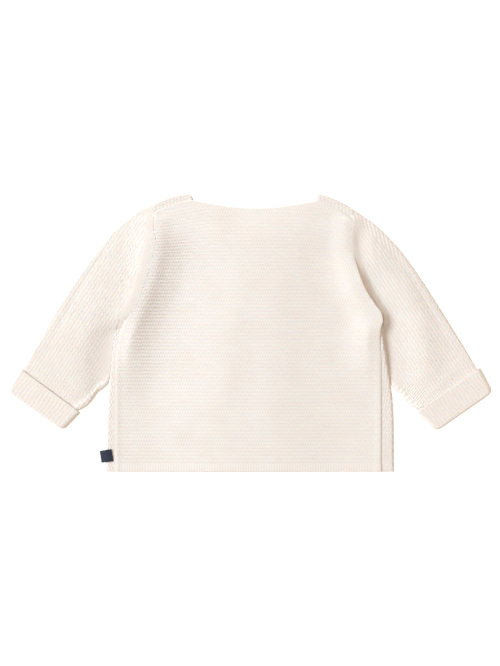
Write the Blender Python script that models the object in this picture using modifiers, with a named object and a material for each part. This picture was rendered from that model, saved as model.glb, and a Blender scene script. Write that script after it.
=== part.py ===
"""Baby cardigan in garter stitch, laid flat with its back up.

+X runs towards the wearer's right sleeve, +Y towards the neck and +Z away from the surface that it lies on.
The origin is the middle of its outline, on that surface. Tables and sizes are in millimetres. Each side is
worked out on its own outline with x counted outwards from the middle, and then placed by its sign.
"""

import math
from collections import namedtuple

import bmesh
import bpy
import numpy as np

MM = 0.001

# Cloth
WALL = 2.0
SEAM_GAP = 0.3
RIDGE_HEIGHT = 0.35
GROOVE_DEPTH = 0.15
BODY_PITCH = 3.4
SLEEVE_PITCH = 3.2
CUFF_PITCH = 3.65

# Layers, counted up from the surface
LAYER_SLOT = 0.8
BACK_LOW = WALL + LAYER_SLOT
FOLD_RADIUS = BACK_LOW / 2
FOLD_DEPTH = FOLD_RADIUS + WALL / 2

# Back panel
HEM_Y = -135.4
NECK_LOW = (5.0, 120.2)
NECK_CURVE = 1.7
CROWN_RISE = 3.8
CROWN_MIDDLE = -6.0
CROWN_FLAT = 19.0
CROWN_REACH = 105.0
CROWN_END = (92.0, 116.0)
NECK_DROOP = 1.5
NECK_DROOP_ACROSS = (12.0, 46.0)
NECK_DROOP_START = 100.0
ARMHOLE_FOOT = (-11.0, -1.0)
ARMHOLE_HEAD = (104.0, 111.0)
ARMHOLE_LIFT = 2.1
ARMHOLE_LIFT_REACH = 14.0
LEAST_HOLD = 5.0
HOLD_PAST_SLEEVE = 1.5
EDGE_ROUND = 1.1
EDGE_THINNING = 0.55
EDGE_COLUMN = 5.0
BACK_MIDDLE_COLUMNS = (-35.0, -15.0, 5.0, 25.0, 45.0)
BACK_INNER_ROWS = 24
TOP_EDGE_POINTS = 9
TOP_EDGE_PASSES = 20

# Shoulder strips of the fronts, on the back face
BOW_OUTWARDS = 0.3
STRIP_LEAN_AT_NECK = 0.3

# Buttons on the right front, and the fronts' overlap at the middle
OVERLAP = 11.0
PLACKET_EDGE = 13.0
BUTTON_HEIGHT = 1.6
BUTTON_X = 0.5
BUTTON_LEVELS = (70.0, 24.0, -22.0, -68.0, -114.0)
BUTTON_SIDES = 16
# Distance from a button's middle, height: from the middle of its upper side round to the lower one
BUTTON_PROFILE = (
    (0.0, 1.25), (4.0, 1.25), (4.8, BUTTON_HEIGHT), (6.0, 1.15),
    (6.0, 0.5), (4.9, 0.0), (3.8, 0.45), (0.0, 0.45),
)

# Fronts: columns from the middle outwards, and rows from the hem up, close together where the side fold ends
FRONT_COLUMNS = (-OVERLAP, 2.0, PLACKET_EDGE, 20.0, 27.0, 34.0, 48.0, 62.0, 72.0, 82.0, 92.0, 112.0)
FRONT_LOWER_LEVELS = (HEM_Y, -110.0, -85.0, -57.0, -34.0, -22.0, -16.0, -11.0, -5.0)
FOLD_END_ROWS = 8
FRONT_UPPER_LEVELS = (14.0, 28.0, 41.0, 55.0, 66.0, 72.0, 78.0, 84.0, 92.0, 102.0, 113.0, 124.0)
# y, how far the front's cloth has drawn back from the side seam towards the sleeve's inner end, from 0 to 1
UNDERARM = ((1.0, 0.0), (2.6, 0.42), (3.0, 1.0))
TILT_START = 55.0
FOLD_STEPS = 5
STRIP_COLUMN = 2.0
PAST_ALL_STRIPS = 99.0

# Sleeves and cuffs
SLEEVE_END_HEIGHT = 2 * WALL + 0.4
SLEEVE_EDGE_WALL = WALL + 0.1
SLEEVE_CROWN = 2.8
SLEEVE_FULLNESS = 0.7
SLEEVE_SWELL = 26.0
SLEEVE_DIRECTION = (0.553, -0.833)
CUFF_DIRECTION = (0.60, -0.80)
CUFF_HEIGHT = SLEEVE_END_HEIGHT + 2 * (WALL + SEAM_GAP)
SLEEVE_IN_CUFF = WALL + SEAM_GAP
# Rings of the sleeve in its cuff: share of the cuff's length, how much narrower than the cuff's inside
SLEEVE_END_RINGS = ((0.06, 1.2), (0.5, 0.4), (1.0, 0.1))
CUFF_RINGS = (0.0, 0.35, 0.7, 1.0)
CUFF_INNER_RINGS = (0.0, 0.5, 1.0)
CUFF_INNER_POINTS = 5
# Degrees round the cuff's turn: its ridges run on to the first two, and the last two are plain
CUFF_TURN_RIDGED = (40, 80)
CUFF_TURN_PLAIN = (130, 180)
ROUND_STEPS = 3
CROSSING_SAMPLES = 41
# Places of the points across a sleeve's inside and across its underside, from its upper edge to its lower one
SLEEVE_INSIDE = (0.06, 0.2, 0.4, 0.6, 0.8, 0.94)
SLEEVE_FLOOR = (0.9, 0.5, 0.1)

# Label: its upper and lower corner at the seam, and its fall for each mm outwards
LABEL_WALL = 0.8
LABEL_ENDS = (-113.6, -125.4)
LABEL_SLANT = 0.12
# Distance out from the side seam, height of the label's underside above the strip that it lies on
LABEL_DROP = ((0.6, 0.3), (4.0, 0.3), (6.5, 0.0), (9.0, -0.8), (12.4, -2.2))

# Colours (red, green, blue in linear light) and roughness
CREAM = (0.88, 0.82, 0.75)
NAVY = (0.006, 0.011, 0.04)
SHELL = (0.80, 0.76, 0.68)
KNIT_ROUGHNESS = 0.9
LABEL_ROUGHNESS = 0.7
BUTTON_ROUGHNESS = 0.35

# Points closer than this are one point
POINT_MERGE = 0.002

# One station of a sleeve: its upper and lower edge, and how much of the armhole's bend it keeps, from 0 to 1
Station = namedtuple("Station", "upper_x upper_y lower_x lower_y follow")

# One ring of a sleeve: its two ends, its bend between them, its height, and whether its ridges stand out
Section = namedtuple("Section", "upper lower bend lift ridged")

# One side of the body with its sleeve and cuff. Tables that follow the height run from the hem up.
Side = namedtuple(
    "Side",
    "name sign back_edge side_fold root neck_corner shoulder_end shoulder_bow strip_at_neck strip_at_arm"
    " neckline middle_lift lift_end stations cuff_free cuff_end",
)

LEFT = Side(
    name="left",
    sign=-1,
    # y, x of the back panel's side and armhole edge
    back_edge=(
        (HEM_Y, 132.0), (-48.0, 132.0), (-32.0, 131.7), (-14.0, 130.2), (-3.0, 127.2),
        (13.6, 119.9), (40.7, 108.3), (69.8, 99.6), (94.0, 95.7), (123.0, 94.7),
    ),
    # y, x of the folded side of the body
    side_fold=((HEM_Y, 140.3), (-57.0, 137.5), (-34.0, 135.4), (-14.0, 133.4), (0.0, 131.5), (3.0, 130.8)),
    # y, x of the sleeve's inner end, under the back panel's edge
    root=(
        (4.0, 117.5), (13.6, 112.9), (40.7, 101.3), (69.8, 92.6), (88.0, 90.6), (97.0, 92.6),
        (104.0, 95.9), (113.0, 95.8), (122.5, 95.7),
    ),
    neck_corner=(57.9, 135.0),
    shoulder_end=(94.6, 123.4),
    shoulder_bow=2.4,
    strip_at_neck=7.0,
    strip_at_arm=9.0,
    # y, x of the front's neck edge
    neckline=(
        (72.0, -OVERLAP), (78.0, -7.0), (84.0, 2.0), (92.0, 17.0),
        (102.0, 33.0), (113.0, 45.0), (133.0, 57.0),
    ),
    middle_lift=BUTTON_HEIGHT + 2 * SEAM_GAP + WALL,
    lift_end=34.0,
    stations=(
        Station(104.5, 119.4, 131.3, 3.5, 0.8),
        Station(117.0, 110.8, 134.8, -14.0, 0.4),
        Station(132.0, 98.2, 136.4, -34.0, 0.2),
        Station(148.5, 77.8, 138.6, -50.0, 0.0),
        Station(168.6, 50.4, 147.1, -59.1, 0.0),
        Station(187.7, 21.3, 152.0, -66.0, 0.0),
        Station(202.5, -4.5, 156.6, -71.0, 0.0),
        Station(211.8, -22.0, 161.2, -74.3, 0.0),
    ),
    cuff_free=((223.6, -34.4), (163.8, -78.4)),
    cuff_end=((236.0, -57.0), (180.5, -95.9)),
)

RIGHT = Side(
    name="right",
    sign=1,
    back_edge=(
        (HEM_Y, 127.7), (-48.0, 127.7), (-22.0, 127.4), (-8.0, 126.4), (1.9, 126.8),
        (11.6, 129.0), (17.4, 128.0), (28.1, 120.6), (40.7, 112.6), (55.2, 106.8),
        (67.8, 103.0), (91.0, 100.2), (106.0, 100.8), (118.5, 101.0),
    ),
    side_fold=((HEM_Y, 140.3), (-57.0, 137.6), (-34.0, 134.0), (-14.0, 131.4), (0.0, 130.1), (3.0, 129.6)),
    root=(
        (4.0, 117.5), (18.0, 113.0), (40.7, 104.0), (67.8, 96.0), (86.0, 94.4), (95.0, 97.4),
        (103.0, 101.7), (111.0, 101.8), (118.0, 101.8),
    ),
    neck_corner=(67.1, 134.2),
    shoulder_end=(100.9, 118.5),
    shoulder_bow=1.8,
    strip_at_neck=6.5,
    strip_at_arm=11.0,
    neckline=(
        (72.0, -OVERLAP), (78.0, -7.0), (84.0, 3.0), (92.0, 20.0),
        (102.0, 39.0), (113.0, 53.0), (132.0, 66.0),
    ),
    middle_lift=BUTTON_HEIGHT + SEAM_GAP,
    lift_end=30.0,
    stations=(
        Station(109.6, 112.9, 130.2, 3.5, 0.8),
        Station(119.6, 105.9, 132.5, -14.0, 0.5),
        Station(132.4, 94.0, 135.1, -34.0, 0.2),
        Station(146.2, 79.0, 138.9, -50.5, 0.0),
        Station(166.9, 50.4, 146.4, -61.0, 0.0),
        Station(185.5, 21.3, 151.4, -67.5, 0.0),
        Station(202.2, -5.5, 155.6, -72.0, 0.0),
        Station(211.8, -21.5, 159.8, -74.6, 0.0),
    ),
    cuff_free=((223.4, -34.4), (161.6, -77.8)),
    cuff_end=((236.0, -58.0), (180.2, -96.8)),
)


# ---------------------------------------------------------------- curves and heights


def curve(table, place):
    """A smooth curve through the rows of a table, read at one place and level beyond its ends."""
    places, values = np.array(table, float).T
    slopes = np.gradient(values, places)
    place = min(max(place, places[0]), places[-1])
    row = min(int(np.searchsorted(places, place, side="right")) - 1, len(places) - 2)
    span = places[row + 1] - places[row]
    t = (place - places[row]) / span
    start = values[row] * (1 + 2 * t) * (1 - t) ** 2 + slopes[row] * span * t * (1 - t) ** 2
    end = values[row + 1] * t * t * (3 - 2 * t) + slopes[row + 1] * span * t * t * (t - 1)
    return start + end


def ramp(value, low, high):
    """0 at low, 1 at high, and smooth between them."""
    t = min(max((value - low) / (high - low), 0.0), 1.0)
    return t * t * (3 - 2 * t)


def relief(place, pitch):
    """Height of the garter ridges on a wall's outer face."""
    wave = math.cos(2 * math.pi * place / pitch)
    return RIDGE_HEIGHT * wave if wave > 0 else GROOVE_DEPTH * wave


def mix(first, last, t):
    return first + (last - first) * t


# ---------------------------------------------------------------- meshes


def material(name, colour, roughness):
    made = bpy.data.materials.new(name)
    made.use_nodes = True
    shader = made.node_tree.nodes["Principled BSDF"]
    shader.inputs["Base Color"].default_value = (*colour, 1.0)
    shader.inputs["Roughness"].default_value = roughness
    shader.inputs["Metallic"].default_value = 0.0
    return made


def add_object(name, bm, finish, collection):
    """Closes up points that share a place, points the faces outwards and adds the piece, in metres."""
    bmesh.ops.remove_doubles(bm, verts=bm.verts, dist=POINT_MERGE)
    bmesh.ops.recalc_face_normals(bm, faces=bm.faces)
    bmesh.ops.scale(bm, vec=(MM, MM, MM), verts=bm.verts)
    mesh = bpy.data.meshes.new(name)
    bm.to_mesh(mesh)
    bm.free()
    mesh.materials.append(finish)
    piece = bpy.data.objects.new(name, mesh)
    collection.objects.link(piece)
    return piece


def lay_grid(bm, rows):
    """Faces between rows that have as many points as each other. Returns the rows of vertices."""
    laid = [[bm.verts.new(point) for point in row] for row in rows]
    for near, far in zip(laid, laid[1:]):
        for left in range(len(near) - 1):
            bm.faces.new((near[left], near[left + 1], far[left + 1], far[left]))
    return laid


def stations_of(line):
    """How far along a line each of its vertices is, from 0 to 1."""
    steps = [(b.co - a.co).length for a, b in zip(line, line[1:])]
    along = np.concatenate(([0.0], np.cumsum(steps)))
    return along / along[-1]


def zip_up(bm, one, other):
    """Faces between two lines of vertices, which may have different numbers of points."""
    if len(one) == len(other):
        for index in range(len(one) - 1):
            bm.faces.new((one[index], one[index + 1], other[index + 1], other[index]))
        return
    one_along, other_along = stations_of(one), stations_of(other)
    i = j = 0
    while i < len(one) - 1 or j < len(other) - 1:
        one_is_next = i < len(one) - 1 and (j == len(other) - 1 or one_along[i + 1] <= other_along[j + 1])
        if one_is_next:
            bm.faces.new((one[i], one[i + 1], other[j]))
            i += 1
        else:
            bm.faces.new((one[i], other[j + 1], other[j]))
            j += 1


def panel_mesh(outer_rows, inner_rows):
    """A panel with a fine outer face and a plain inner one, closed along its four edges."""
    bm = bmesh.new()
    outer = lay_grid(bm, outer_rows)
    inner = lay_grid(bm, inner_rows)
    zip_up(bm, outer[0], inner[0])
    zip_up(bm, outer[-1], inner[-1])
    zip_up(bm, [row[0] for row in outer], [row[0] for row in inner])
    zip_up(bm, [row[-1] for row in outer], [row[-1] for row in inner])
    return bm


def tube_mesh(outer_rings, inner_rings):
    """A tube with an open way through it, from rings that start at its upper edge."""
    bm = bmesh.new()
    outer = lay_grid(bm, [ring + ring[:1] for ring in outer_rings])
    inner = lay_grid(bm, [ring + ring[:1] for ring in inner_rings])
    zip_up(bm, outer[0], inner[0])
    zip_up(bm, outer[-1], inner[-1])
    return bm


# ---------------------------------------------------------------- back


def shoulder_line(side, t, inwards):
    """A point on the shoulder, t along it from the neck, and inwards from its folded edge."""
    neck, arm = side.neck_corner, side.shoulder_end
    bow = side.shoulder_bow * 4 * t * (1 - t)
    edge_x = mix(neck[0], arm[0], t) + BOW_OUTWARDS * bow
    edge_y = mix(neck[1], arm[1], t) + bow
    lean = mix(STRIP_LEAN_AT_NECK, 0.0, t)
    length = math.hypot(lean, 1.0)
    return edge_x - inwards * lean / length, edge_y - inwards / length


def strip_width(side, t):
    """Width of the front's shoulder strip on the back face."""
    return mix(side.strip_at_neck, side.strip_at_arm, t)


def back_top(x):
    """y of the back panel's top edge: a shoulder seam, the neck and the other shoulder seam."""
    side = RIGHT if x > NECK_LOW[0] else LEFT
    shares = np.linspace(0, 1, TOP_EDGE_POINTS)
    seam = [shoulder_line(side, t, strip_width(side, t) + SEAM_GAP) for t in shares]
    corner_x, corner_y = seam[0]
    if abs(x) >= corner_x:
        return float(np.interp(abs(x), *np.array(seam).T))
    across = abs(x - NECK_LOW[0]) / abs(side.sign * corner_x - NECK_LOW[0])
    return mix(NECK_LOW[1], corner_y, across**NECK_CURVE)


def armhole_hold(side, y):
    """How far in from its edge the back panel lies on the sleeve's end."""
    over_sleeve = curve(side.back_edge, y) - curve(side.root, max(y, side.root[0][0]))
    return max(over_sleeve, LEAST_HOLD) + HOLD_PAST_SLEEVE


def armhole_part(y):
    """1 where the back panel's edge lies on a sleeve, 0 at the side seam and the shoulder seam."""
    return ramp(y, *ARMHOLE_FOOT) * (1 - ramp(y, *ARMHOLE_HEAD))


def back_height(x, y):
    """Height of the back panel's inner face."""
    out = max(abs(x - CROWN_MIDDLE) - CROWN_FLAT, 0.0)
    crown = CROWN_RISE * (1 - ramp(out, 0.0, CROWN_REACH - CROWN_FLAT)) * (1 - ramp(y, *CROWN_END))
    near_neck = (1 - ramp(abs(x - NECK_LOW[0]), *NECK_DROOP_ACROSS)) * ramp(y, NECK_DROOP_START, NECK_LOW[1])
    side = RIGHT if x > 0 else LEFT
    inwards = curve(side.back_edge, y) - abs(x)
    hold = armhole_hold(side, y)
    lift = ARMHOLE_LIFT * armhole_part(y) * (1 - ramp(inwards, hold, hold + ARMHOLE_LIFT_REACH))
    return BACK_LOW + max(crown, lift) - NECK_DROOP * near_neck


def edge_columns(side, y):
    """Columns of the back panel beside one edge, from the edge inwards."""
    hold = armhole_hold(side, y)
    insets = (0.0, EDGE_ROUND, EDGE_COLUMN, hold, hold + 0.5 * ARMHOLE_LIFT_REACH, hold + ARMHOLE_LIFT_REACH)
    corner = shoulder_line(side, 0.0, strip_width(side, 0.0) + SEAM_GAP)[0]
    edge = curve(side.back_edge, y)
    return [side.sign * max(edge - inset, corner) for inset in insets] + [side.sign * corner]


def back_columns(y):
    return edge_columns(LEFT, y) + list(BACK_MIDDLE_COLUMNS) + edge_columns(RIGHT, y)[::-1]


def column_tops():
    """y at which each column of the back panel meets its top edge."""
    tops = np.full(len(back_columns(0.0)), NECK_LOW[1])
    for _ in range(TOP_EDGE_PASSES):
        tops = np.array([back_top(back_columns(y)[column]) for column, y in enumerate(tops)])
    return tops


def back_rows(levels, outer):
    """Rows of the back panel's outer or inner face, cut off along its top edge."""
    tops = column_tops()
    rows = []
    for level in levels:
        row = []
        for column, top in enumerate(tops):
            y = min(level, top)
            x = back_columns(y)[column]
            height = back_height(x, y)
            if outer:
                side = RIGHT if x > 0 else LEFT
                inwards = curve(side.back_edge, y) - abs(x)
                rounding = armhole_part(y) * (1 - ramp(inwards, 0.0, 2 * EDGE_ROUND))
                height += WALL * (1 - EDGE_THINNING * rounding)
                height += relief(y - HEM_Y, BODY_PITCH) * (1 - rounding)
            row.append((x, y, height))
        rows.append(row)
    return rows


def add_back(finish, collection):
    top = max(column_tops())
    ridge_rows = np.arange(HEM_Y, top + BODY_PITCH / 2, BODY_PITCH / 2)
    plain_rows = np.linspace(HEM_Y, ridge_rows[-1], BACK_INNER_ROWS)
    bm = panel_mesh(back_rows(ridge_rows, outer=True), back_rows(plain_rows, outer=False))
    return add_object("back", bm, finish, collection)


# ---------------------------------------------------------------- fronts


def front_lift(side, x):
    """How far the front rises at the middle, over the buttons and over the other front."""
    return side.middle_lift * (1 - ramp(x, PLACKET_EDGE, side.lift_end))


def fold_over(along, face):
    """Offset outwards and height of cloth that runs this far past the start of a fold.

    face is 1 for its outer face, which starts downwards, and -1 for its inner one.
    """
    turn = math.pi * FOLD_RADIUS
    angle = min(max(along, 0.0), turn) / FOLD_RADIUS
    radius = FOLD_RADIUS + face * WALL / 2
    straight = min(along, 0.0) - max(along - turn, 0.0)
    return straight + radius * math.sin(angle), WALL / 2 + FOLD_RADIUS - radius * math.cos(angle)


def front_reach(side, y):
    """How far the front's cloth runs past the start of its side fold, or short of it at the armhole."""
    start = curve(side.side_fold, y) - FOLD_DEPTH
    folded = math.pi * FOLD_RADIUS + start - curve(side.back_edge, y) - SEAM_GAP
    cut = curve(side.root, y) - 2 * SEAM_GAP - start
    return mix(folded, cut, float(np.interp(y, *np.array(UNDERARM).T)))


def front_floor_row(side, level, face):
    """One row of a face of the front, from its middle edge to its side."""
    arm_level = level
    if level > TILT_START:
        neck_top = shoulder_line(side, 0.0, FOLD_DEPTH)[1]
        arm_top = shoulder_line(side, 1.0, FOLD_DEPTH)[1]
        arm_level = mix(TILT_START, arm_top, (level - TILT_START) / (neck_top - TILT_START))
    inner = curve(side.neckline, level)
    start = curve(side.side_fold, arm_level) - FOLD_DEPTH
    reach = front_reach(side, arm_level)
    turn = math.pi * FOLD_RADIUS
    folds = [turn * step / FOLD_STEPS for step in range(FOLD_STEPS + 1)]
    folds += [turn + STRIP_COLUMN, turn + PAST_ALL_STRIPS]
    runs = [max(column, inner) - start for column in FRONT_COLUMNS] + folds
    row = []
    for run in runs:
        offset, height = fold_over(min(run, reach), face)
        x = start + offset
        along = min(max((x - inner) / (start + min(reach, 0.0) - inner), 0.0), 1.0)
        row.append((side.sign * x, mix(level, arm_level, along), height + front_lift(side, x)))
    return row


def front_shoulder_row(side, past, face):
    """One row of a face of the front, this far past the start of the shoulder fold, or at its seam."""
    places = len(FRONT_COLUMNS) + FOLD_STEPS + 3
    row = []
    for column in range(places):
        neck_x, arm_x = side.neck_corner[0], side.shoulder_end[0]
        wanted = FRONT_COLUMNS[column] if column < len(FRONT_COLUMNS) else arm_x
        t = min(max((wanted - neck_x) / (arm_x - neck_x), 0.0), 1.0)
        end = math.pi * FOLD_RADIUS + strip_width(side, t) - FOLD_DEPTH
        offset, height = fold_over(end if past is None else past, face)
        x, y = shoulder_line(side, t, FOLD_DEPTH - offset)
        row.append((side.sign * x, y, height))
    return row


def front_rows(side, face):
    """A face of the front, from the hem over the shoulder to the seam on the back."""
    turn = math.pi * FOLD_RADIUS
    start, floor, end = (level for level, _ in UNDERARM)
    levels = [*FRONT_LOWER_LEVELS, *np.linspace(start, floor, FOLD_END_ROWS), end, *FRONT_UPPER_LEVELS]
    rows = [front_floor_row(side, level, face) for level in levels]
    rows += [front_shoulder_row(side, turn * step / FOLD_STEPS, face) for step in range(FOLD_STEPS + 1)]
    return rows + [front_shoulder_row(side, None, face)]


def add_front(side, finish, collection):
    bm = panel_mesh(front_rows(side, 1), front_rows(side, -1))
    return add_object("front_" + side.name, bm, finish, collection)


# ---------------------------------------------------------------- sleeves and cuffs


def ring_points(plan, low, top_at, rounding, tops, bottoms, swell=None):
    """A flattened ring over a plan line from its upper to its lower edge.

    tops and bottoms say how far along the line its points are, from 0 to 1, and swell raises the top ones.
    """
    length = math.dist(plan(0.0), plan(1.0))
    inset = rounding / length
    middle = low + rounding

    def end_points(at_upper, angles):
        found = []
        for angle in angles:
            t = inset * (1 - math.cos(angle))
            x, y = plan(t if at_upper else 1 - t)
            found.append((x, y, middle + rounding * math.sin(angle)))
        return found

    quarter = [0.5 * math.pi * step / ROUND_STEPS for step in range(ROUND_STEPS)]
    points = end_points(True, quarter)
    for number, place in enumerate(tops):
        t = min(max(place, inset), 1 - inset)
        x, y = plan(t)
        raised = swell[number] if swell and t == place else 0.0
        points.append((x, y, top_at(t) + raised))
    points += end_points(False, quarter[::-1])
    points += end_points(False, [-angle for angle in quarter[1:]])
    for place in bottoms:
        points.append((*plan(min(max(place, inset), 1 - inset)), low))
    points += end_points(True, [-angle for angle in quarter[:0:-1]])
    return points


def ridge_lines(direction, pitch, outline):
    """Where the lines of crests and grooves lie, across their direction, to cover an outline."""
    across = [ridge_place(direction, point) for point in outline]
    first = math.floor(min(across) / (pitch / 2))
    last = math.ceil(max(across) / (pitch / 2))
    return [number * pitch / 2 for number in range(first, last + 1)]


def ridge_place(direction, point):
    """How far a point lies across the ridges, counted from the upper edge's side to the lower edge's."""
    along = math.hypot(*direction)
    return (point[0] * direction[1] - point[1] * direction[0]) / along


def crossing_places(plan, direction, lines):
    """Where a plan line meets each ridge line, from 0 to 1 along it."""
    samples = np.linspace(0.0, 1.0, CROSSING_SAMPLES)
    across = [ridge_place(direction, plan(t)) for t in samples]
    return [float(t) for t in np.interp(lines, across, samples)]


def body_edge(side, y):
    """x of the body's outer edge, which the sleeve lies beside or under."""
    if y < 0.0:
        return curve(side.side_fold, y)
    return curve(side.back_edge, y)


def cuff_point(side, upper, along, inwards):
    """A point on the cuff, along its upper or lower edge from its free edge, and inwards from that edge."""
    free, far = side.cuff_free[0 if upper else 1], side.cuff_end[0 if upper else 1]
    length = math.dist(free, far)
    x = mix(free[0], far[0], along / length)
    y = mix(free[1], far[1], along / length)
    across = (side.cuff_end[1][0] - side.cuff_end[0][0], side.cuff_end[1][1] - side.cuff_end[0][1])
    share = inwards / math.hypot(*across) * (1 if upper else -1)
    return x + across[0] * share, y + across[1] * share


def cuff_depth(side):
    """Length of the cuff to the start of its turn, at its upper and its lower edge."""
    turn = WALL + SEAM_GAP / 2
    return [math.dist(side.cuff_free[edge], side.cuff_end[edge]) - turn for edge in (0, 1)]


def straight_plan(upper, lower, bend=None):
    def plan(t):
        return mix(upper[0], lower[0], t) + (bend(t) if bend else 0.0), mix(upper[1], lower[1], t)

    return plan


def sleeve_sections(side):
    """The sleeve's sections from the armhole to the cuff's fold."""
    top_y, low_y = side.root[-1][0], side.root[0][0]

    def bend_of(table, share):
        def bend(t):
            level = curve(table, mix(top_y, low_y, t))
            return share * (level - mix(curve(table, top_y), curve(table, low_y), t))

        return bend

    sections = []
    for table, outwards in ((side.root, 0.0), (side.back_edge, 1.0)):
        upper = (curve(table, top_y) + outwards, top_y)
        lower = (curve(table, low_y) + outwards, low_y)
        sections.append(Section(upper, lower, bend_of(table, 1.0), 0.0, False))
    for station in side.stations:
        upper = (station.upper_x, station.upper_y)
        lower = (station.lower_x, station.lower_y)
        in_cuff = station is side.stations[-1]
        bend = bend_of(side.back_edge, station.follow)
        sections.append(Section(upper, lower, bend, SLEEVE_IN_CUFF if in_cuff else 0.0, not in_cuff))
    depths = cuff_depth(side)
    for share, narrower in SLEEVE_END_RINGS:
        ends = []
        for upper, depth in zip((True, False), depths):
            ends.append(cuff_point(side, upper, share * (depth - SEAM_GAP), SLEEVE_IN_CUFF + narrower))
        sections.append(Section(*ends, lambda t: 0.0, SLEEVE_IN_CUFF, False))
    return sections


def moved_left(line, distance):
    """The points of a line moved square to it, to the left of the way it runs."""
    moved = []
    for number, point in enumerate(line):
        before = line[max(number - 1, 0)]
        after = line[min(number + 1, len(line) - 1)]
        square = (before[1] - after[1], after[0] - before[0])
        share = distance / math.hypot(*square)
        moved.append((point[0] + share * square[0], point[1] + share * square[1]))
    return moved


def sleeve_top(side, plan, lift):
    """Height of the sleeve's plain outer face along a plan line."""

    def top_at(t):
        x, y = plan(t)
        clear = ramp(x - body_edge(side, y), 0.0, SLEEVE_SWELL)
        crown = SLEEVE_CROWN * clear * math.sin(math.pi * t) ** SLEEVE_FULLNESS
        return lift + SLEEVE_END_HEIGHT + (crown if lift == 0.0 else 0.0)

    return top_at


def placed(side, points):
    return [(side.sign * x, y, z) for x, y, z in points]


def add_sleeve(side, finish, collection):
    sections = sleeve_sections(side)
    uppers = [section.upper for section in sections]
    lowers = [section.lower for section in sections]
    lines = ridge_lines(SLEEVE_DIRECTION, SLEEVE_PITCH, uppers + lowers)
    swell = [relief(line, SLEEVE_PITCH) for line in lines]
    rounding = SLEEVE_END_HEIGHT / 2
    outer = []
    for section in sections:
        plan = straight_plan(section.upper, section.lower, section.bend)
        tops = crossing_places(plan, SLEEVE_DIRECTION, lines)
        ridges = swell if section.ridged else None
        top_at = sleeve_top(side, plan, section.lift)
        ring = ring_points(plan, section.lift, top_at, rounding, tops, SLEEVE_FLOOR, ridges)
        outer.append(placed(side, ring))
    inner = []
    inner_ends = zip(moved_left(uppers, -SLEEVE_EDGE_WALL), moved_left(lowers, SLEEVE_EDGE_WALL))
    for section, ends in zip(sections, inner_ends):
        plan = straight_plan(*ends, section.bend)
        top_at = sleeve_top(side, plan, section.lift)

        def inner_top(t, top_at=top_at):
            return top_at(t) - WALL

        low = section.lift + WALL
        ring = ring_points(plan, low, inner_top, rounding - WALL, SLEEVE_INSIDE, SLEEVE_FLOOR)
        inner.append(placed(side, ring))
    return add_object("sleeve_" + side.name, tube_mesh(outer, inner), finish, collection)


def cuff_ring(side, along, inwards, lines, swell):
    """One ring of the cuff, along it from its free edge and inwards from its outer face."""
    ends = [cuff_point(side, upper, place, inwards) for upper, place in zip((True, False), along)]
    plan = straight_plan(*ends)
    top = CUFF_HEIGHT - inwards
    tops = crossing_places(plan, CUFF_DIRECTION, lines)
    rounding = CUFF_HEIGHT / 2 - inwards
    return placed(side, ring_points(plan, inwards, lambda t: top, rounding, tops, SLEEVE_FLOOR, swell))


def add_cuff(side, finish, collection):
    """The sleeve's end turned back: an outer layer round the sleeve and the turn at its fold."""
    lines = ridge_lines(CUFF_DIRECTION, CUFF_PITCH, side.cuff_free + side.cuff_end)
    coarse = lines[:: len(lines) // CUFF_INNER_POINTS]
    swell = [relief(line, CUFF_PITCH) for line in lines]
    depths = cuff_depth(side)
    turn_middle = WALL + SEAM_GAP / 2
    outer_radius, inner_radius = turn_middle, SEAM_GAP / 2
    outer, inner = [], []
    for share in CUFF_RINGS:
        outer.append(cuff_ring(side, [share * depth for depth in depths], 0.0, lines, swell))
    for degrees in CUFF_TURN_RIDGED:
        angle = math.radians(degrees)
        along = [depth + outer_radius * math.sin(angle) for depth in depths]
        faded = [height * math.cos(angle) for height in swell]
        outer.append(cuff_ring(side, along, turn_middle - outer_radius * math.cos(angle), lines, faded))
    for degrees in CUFF_TURN_PLAIN:
        angle = math.radians(degrees)
        along = [depth + outer_radius * math.sin(angle) for depth in depths]
        outer.append(cuff_ring(side, along, turn_middle - outer_radius * math.cos(angle), lines, None))
    for share in CUFF_INNER_RINGS:
        inner.append(cuff_ring(side, [share * depth for depth in depths], WALL, coarse, None))
    inner.append(cuff_ring(side, [depth + inner_radius for depth in depths], turn_middle, coarse, None))
    inner.append(cuff_ring(side, depths, turn_middle + inner_radius, coarse, None))
    return add_object("cuff_" + side.name, tube_mesh(outer, inner), finish, collection)


# ---------------------------------------------------------------- label and buttons


def add_label(finish, collection):
    """A woven tab caught in the left side seam, lying on the folded side and out past it."""
    seam = LEFT.back_edge[0][1]
    strip_top = BACK_LOW + WALL
    rows = []
    for out, drop in LABEL_DROP:
        height = strip_top + drop + LABEL_WALL / 2
        rows.append([(-seam - out, y - LABEL_SLANT * out, height) for y in LABEL_ENDS])
    bm = bmesh.new()
    lay_grid(bm, rows)
    piece = add_object("label", bm, finish, collection)
    shell = piece.modifiers.new("cloth", "SOLIDIFY")
    shell.thickness = LABEL_WALL * MM
    shell.offset = 0.0
    return piece


def add_button(number, level, finish, collection):
    mesh = bpy.data.meshes.new(f"button_{number}")
    points = [(radius * MM, 0.0, height * MM) for radius, height in BUTTON_PROFILE]
    edges = [(index, index + 1) for index in range(len(points) - 1)]
    mesh.from_pydata(points, edges, [])
    mesh.materials.append(finish)
    piece = bpy.data.objects.new(f"button_{number}", mesh)
    piece.location = (BUTTON_X * MM, level * MM, 0.0)
    collection.objects.link(piece)
    turned = piece.modifiers.new("turned", "SCREW")
    turned.steps = turned.render_steps = BUTTON_SIDES
    turned.use_merge_vertices = True
    turned.merge_threshold = POINT_MERGE * MM
    turned.use_smooth_shade = False
    return piece


# ---------------------------------------------------------------- the cardigan

for old in list(bpy.data.objects):
    bpy.data.objects.remove(old)

cardigan = bpy.data.collections.new("baby cardigan")
bpy.context.scene.collection.children.link(cardigan)

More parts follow.
